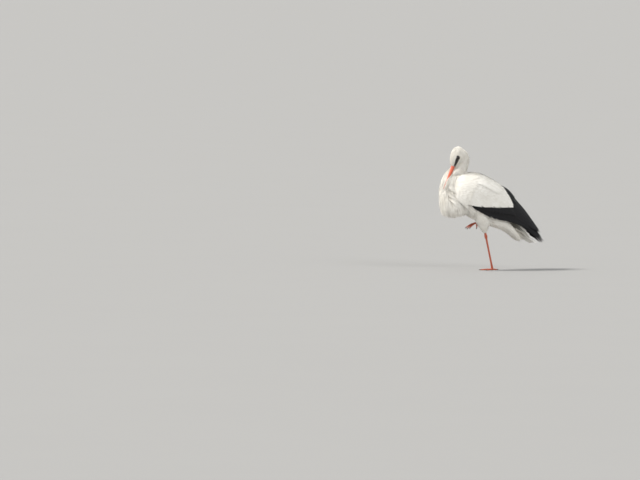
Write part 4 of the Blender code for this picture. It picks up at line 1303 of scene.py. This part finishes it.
def bill_material():
    """Red horn whose grain is drawn out along the bill, more orange towards its tip."""
    n, shader = new_material("bill_horn", 0.36)
    place = n.coordinates()
    along, upright = Vector(ALONG), Vector((0, 0, 1))
    lengthwise = n.add(
        "ShaderNodeVectorRotate", {"rotation_type": "AXIS_ANGLE"}, Vector=place,
        Axis=along.cross(upright).normalized(), Angle=along.angle(upright),
    )
    streaks = n.add("ShaderNodeMapping", Vector=lengthwise.outputs[0], Scale=(1.0, 1.0, 0.05))
    grain = grained(n, 1400.0, streaks.outputs[0])
    height = n.add("ShaderNodeSeparateXYZ", Vector=place).outputs[2]
    colour = n.mix(n.ramp(height, 0.56, 0.65), (0.68, 0.125, 0.050), (0.56, 0.070, 0.040))
    pale = n.math("MULTIPLY", n.ramp(grain["Mottle"], 0.4, 0.75), 0.5)
    colour = n.mix(pale, colour, (0.78, 0.24, 0.11))
    connect(n, shader, colour, grain["Height"], 0.25, 0.0003)


def claw_material():
    n, shader = new_material("claw_horn", 0.38)
    grain = grained(n, 1200.0)
    colour = n.mix(grain["Mottle"], (0.045, 0.030, 0.024), (0.13, 0.085, 0.06))
    connect(n, shader, colour, grain["Height"], 0.25, 0.0003)


def eye_material():
    """Pupil, rayed brown iris and dark rim, from the middle of the pupil outwards."""
    n, shader = new_material("eye", 0.06, Coat_Weight=1.0, Coat_Roughness=0.02)
    gaze = n.add("ShaderNodeUVMap", {"uv_map": "gaze"})
    out, turn, _ = n.add("ShaderNodeSeparateXYZ", Vector=gaze.outputs[0]).outputs
    spokes = n.add("ShaderNodeCombineXYZ", X=n.math("MULTIPLY", turn, 60.0), Y=out)
    iris = n.mix(n.noise(spokes.outputs[0], 3.0), (0.050, 0.026, 0.014), (0.15, 0.080, 0.040))
    colour = n.mix(n.ramp(out, 0.105, 0.120), (0.002, 0.002, 0.002), iris)
    colour = n.mix(n.ramp(out, 0.21, 0.24), colour, (0.006, 0.005, 0.005))
    connect(n, shader, colour)


def floor_material():
    n, shader = new_material("floor", 0.85)
    place = n.coordinates()
    colour = n.mix(n.noise(place, 1.2, 5.0), (0.344, 0.344, 0.342), (0.352, 0.352, 0.350))
    connect(n, shader, colour, n.noise(place, 60.0, 4.0), 0.05, 0.002)


def make_materials():
    feather_materials()
    skin_material()
    leg_scale_material()
    bill_material()
    claw_material()
    eye_material()
    floor_material()


def finish_piece(obj, material, *nodes, slot=None):
    """Gives a piece its material and its body, and hides the CAD nodes that it stands for. slot is not used.
    """
    obj.data.materials.clear()
    obj.data.materials.append(bpy.data.materials[material])
    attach(obj, "root")
    if nodes:
        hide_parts(*nodes)
    return obj


# ---- scales, by geometry nodes -------------------------------------------------------------------
def scale_tree():
    """Small flat plates spread over a bare leg, each turned to the skin under it."""
    tree = bpy.data.node_groups.new("Leg scales", "GeometryNodeTree")
    tree.interface.new_socket("Geometry", in_out="INPUT", socket_type="NodeSocketGeometry")
    for name, value in (("Scale gap", SCALE_GAP), ("Scale size", SCALE_SIZE), ("Scale height", SCALE_HEIGHT)):
        socket = tree.interface.new_socket(name, in_out="INPUT", socket_type="NodeSocketFloat")
        socket.default_value = value
    tree.interface.new_socket("Geometry", in_out="OUTPUT", socket_type="NodeSocketGeometry")
    n = Nodes(tree)
    given, result = n.add("NodeGroupInput").outputs, n.add("NodeGroupOutput").inputs
    spread = n.add(
        "GeometryNodeDistributePointsOnFaces", {"distribute_method": "POISSON"},
        Mesh=given["Geometry"], Distance_Min=given["Scale gap"], Density_Max=600000.0, Seed=3,
    )
    plate = n.add("GeometryNodeMeshIcoSphere", Radius=1.0, Subdivisions=1)
    shape = n.add("ShaderNodeCombineXYZ", X=1.0, Y=1.0, Z=given["Scale height"])
    scaled = {"operation": "SCALE"}
    size = n.add("ShaderNodeVectorMath", scaled, i0=shape.outputs[0], Scale=given["Scale size"])
    flat = n.add("GeometryNodeTransform", Geometry=plate.outputs[0], Scale=size.outputs[0])
    place = n.add(
        "GeometryNodeInstanceOnPoints", Instance=flat.outputs[0],
        Points=spread.outputs["Points"], Rotation=spread.outputs["Rotation"],
    )
    real = n.add("GeometryNodeRealizeInstances", Geometry=place.outputs[0])
    scale = bpy.data.materials["leg_scale"]
    painted = n.add("GeometryNodeSetMaterial", Geometry=real.outputs[0], Material=scale)
    n.put(result[0], painted.outputs[0])
    return tree


def make_scales(legs):
    """Scales on the bare part of both legs, made by the tree and turned into a plain mesh."""
    scales = legs.copy()
    scales.data = legs.data.copy()
    scales.name = "leg_scales"
    bpy.context.scene.collection.objects.link(scales)
    tree = scale_tree()
    modifier = scales.modifiers.new("Scales", "NODES")
    modifier.node_group = tree
    for socket in tree.interface.items_tree:
        if socket.in_out == "INPUT" and socket.socket_type == "NodeSocketFloat":
            modifier[socket.identifier] = socket.default_value
    applied(scales)
    scales.data.shade_smooth()
    return finish_piece(scales, "leg_scale", slot="red_leg")


# ---- the whole bird ------------------------------------------------------------------------------
def unwrap(obj):
    """Gives the object its OFBake map."""
    obj.data.uv_layers.new(name="OFBake")
    bpy.ops.object.select_all(action="DESELECT")
    obj.select_set(True)
    bpy.context.view_layer.objects.active = obj
    bpy.ops.object.mode_set(mode="EDIT")
    bpy.ops.mesh.select_all(action="SELECT")
    bpy.ops.uv.smart_project(angle_limit=math.radians(66), island_margin=0.002)
    bpy.ops.object.mode_set(mode="OBJECT")


def make_skin():
    """One skin from the crown to the toes, its OFBake map, and the marks of bare face and legs."""
    body, legs = make_body_skin(), make_legs()
    make_scales(legs)
    first = len(body.data.vertices)
    last = first + len(legs.data.vertices)
    skin = joined("skin", [body, legs, lid_ring(1), lid_ring(-1)])
    points, _, _, _ = mesh_arrays(skin)
    leg = np.zeros(len(points), np.float32)
    leg[first:last] = 1
    face = bare_face(points).astype(np.float32)
    face[first:last], face[last:] = 0, 1
    for label, values in (("leg", leg), ("face", face)):
        skin.data.attributes.new(label, "FLOAT", "POINT").data.foreach_set("value", values)
    unwrap(skin)
    skin.data.shade_smooth()
    limbs = [f"{part}_{word}" for part in ("thigh", "shank", "tarsus", "foot") for word in ("left", "right")]
    finish_piece(skin, "skin", "head", "neck", "breast", "trunk", *limbs, slot="body_flesh")
    return skin


def make_coat(skin):
    """Every feather of the head, neck, breast, trunk and thighs, in pieces by size and side."""
    roots, uv = scatter_roots(skin)
    inside, depth = under_wing(roots)
    reach, degrees, _ = in_wing(roots)
    keep = (inside < 0.97) | (depth > 0.06) | ((degrees > 112) & (reach > 0.02))
    keep &= bare_face(roots) < 0.3
    along, up, aside = in_head(roots)
    keep &= (along > -0.0078) | (along < -0.025) | (np.hypot(up, aside) > 0.0185)
    roots, uv = roots[keep], uv[keep]
    shell = melted_body("coat_face", 0.0, ENVELOPE_VOXEL)
    nearest, envelope = surface_finder(skin), surface_finder(shell)
    bpy.data.objects.remove(shell)
    path, normals, width, length = lay_feathers(roots, nearest, envelope)
    point = 1 - smoothstep(0.16, 0.30, width / length)
    tint = RNG.random(len(roots))
    fine, broad, left = width < 0.0036, width > 0.0098, roots[:, 0] > 0
    pieces = (
        ("head_feathers", fine, 3, 2, "white_plumage"),
        ("neck_feathers", ~fine & ~broad & (length < 0.050), 3, 1, "white_plumage"),
        ("ruff_feathers", ~fine & ~broad & (length >= 0.050), 3, 1, "white_plumage"),
        ("body_feathers_left", broad & left, 5, 1, "body_flesh"),
        ("body_feathers_right", broad & ~left, 5, 1, "body_flesh"),
    )
    for name, mask, across, step, slot in pieces:
        shafts, faces = path[mask][:, ::step], normals[mask][:, ::step]
        piece = feather_coat(name, shafts, faces, width[mask], uv[mask], across, tint[mask], point[mask])
        finish_piece(piece, "soft_vane", slot=slot)


def make_floor():
    """A plain floor that runs far past the view."""
    reach = 420.0
    corners = np.array([(-reach, -reach, 0), (reach, -reach, 0), (reach, reach, 0), (-reach, reach, 0)])
    floor = new_mesh("floor", corners - CENTRE, [np.array([[0, 1, 2, 3]])], smooth=False)
    floor.data.materials.append(bpy.data.materials["floor"])


def make_lights():
    """A warm key light from the bird's front right, a weaker one from its left, and a pale room round it."""
    world = bpy.data.worlds.new("studio")
    world.use_nodes = True
    room = world.node_tree.nodes["Background"]
    room.inputs["Color"].default_value = (0.97, 0.97, 0.96, 1.0)
    room.inputs["Strength"].default_value = 0.60
    bpy.context.scene.world = world
    for name, direction, strength, spread, colour in (
        ("key", (-0.15, -0.65, 0.75), 3.6, 16.0, (1.0, 0.97, 0.92)),
        ("fill", (0.90, 0.08, 0.42), 1.00, 26.0, (1.0, 1.0, 1.0)),
    ):
        light = bpy.data.lights.new(name, "SUN")
        light.energy, light.angle, light.color = strength, math.radians(spread), colour
        lamp = bpy.data.objects.new(name, light)
        lamp.rotation_mode = "QUATERNION"
        lamp.rotation_quaternion = Vector(direction).to_track_quat("Z", "Y")
        bpy.context.scene.collection.objects.link(lamp)


def make_camera():
    """From the bird's front left, a little above it and far off."""
    azimuth, elevation, distance = math.radians(65.0), math.radians(2.5), 40.0
    beside, above = 1.0338, 0.180  # how far the middle of the view lies from the bird and from the floor
    level = math.cos(elevation)
    back = Vector((math.sin(azimuth) * level, -math.cos(azimuth) * level, math.sin(elevation)))
    right = Vector((math.cos(azimuth), math.sin(azimuth), 0))
    aim = -right * beside + back.cross(right) * above
    camera = bpy.data.objects.new("camera", bpy.data.cameras.new("camera"))
    camera.data.lens, camera.data.sensor_width, camera.data.sensor_fit = 375.0, 36.0, "HORIZONTAL"
    camera.data.clip_start, camera.data.clip_end = 1.0, 2000.0
    camera.location = aim + back * distance
    camera.rotation_mode = "QUATERNION"
    camera.rotation_quaternion = back.to_track_quat("Z", "Y")
    bpy.context.scene.collection.objects.link(camera)
    bpy.context.scene.camera = camera


def main():
    """Builds everything."""
    make_materials()
    skin = make_skin()
    make_coat(skin)
    for word, side in (("left", 1), ("right", -1)):
        make_wing(word, side)
    make_tail()
    for name, upper in (("bill_upper", True), ("bill_lower", False)):
        finish_piece(mandible(name, upper), "bill_horn", name, slot="red_horn")
    make_bill_nest()
    for side in (1, -1):
        eyeball(side)
    make_floor()
    make_lights()
    make_camera()
    bpy.context.scene.view_settings.view_transform = "Standard"
    bpy.context.view_layer.update()


main()
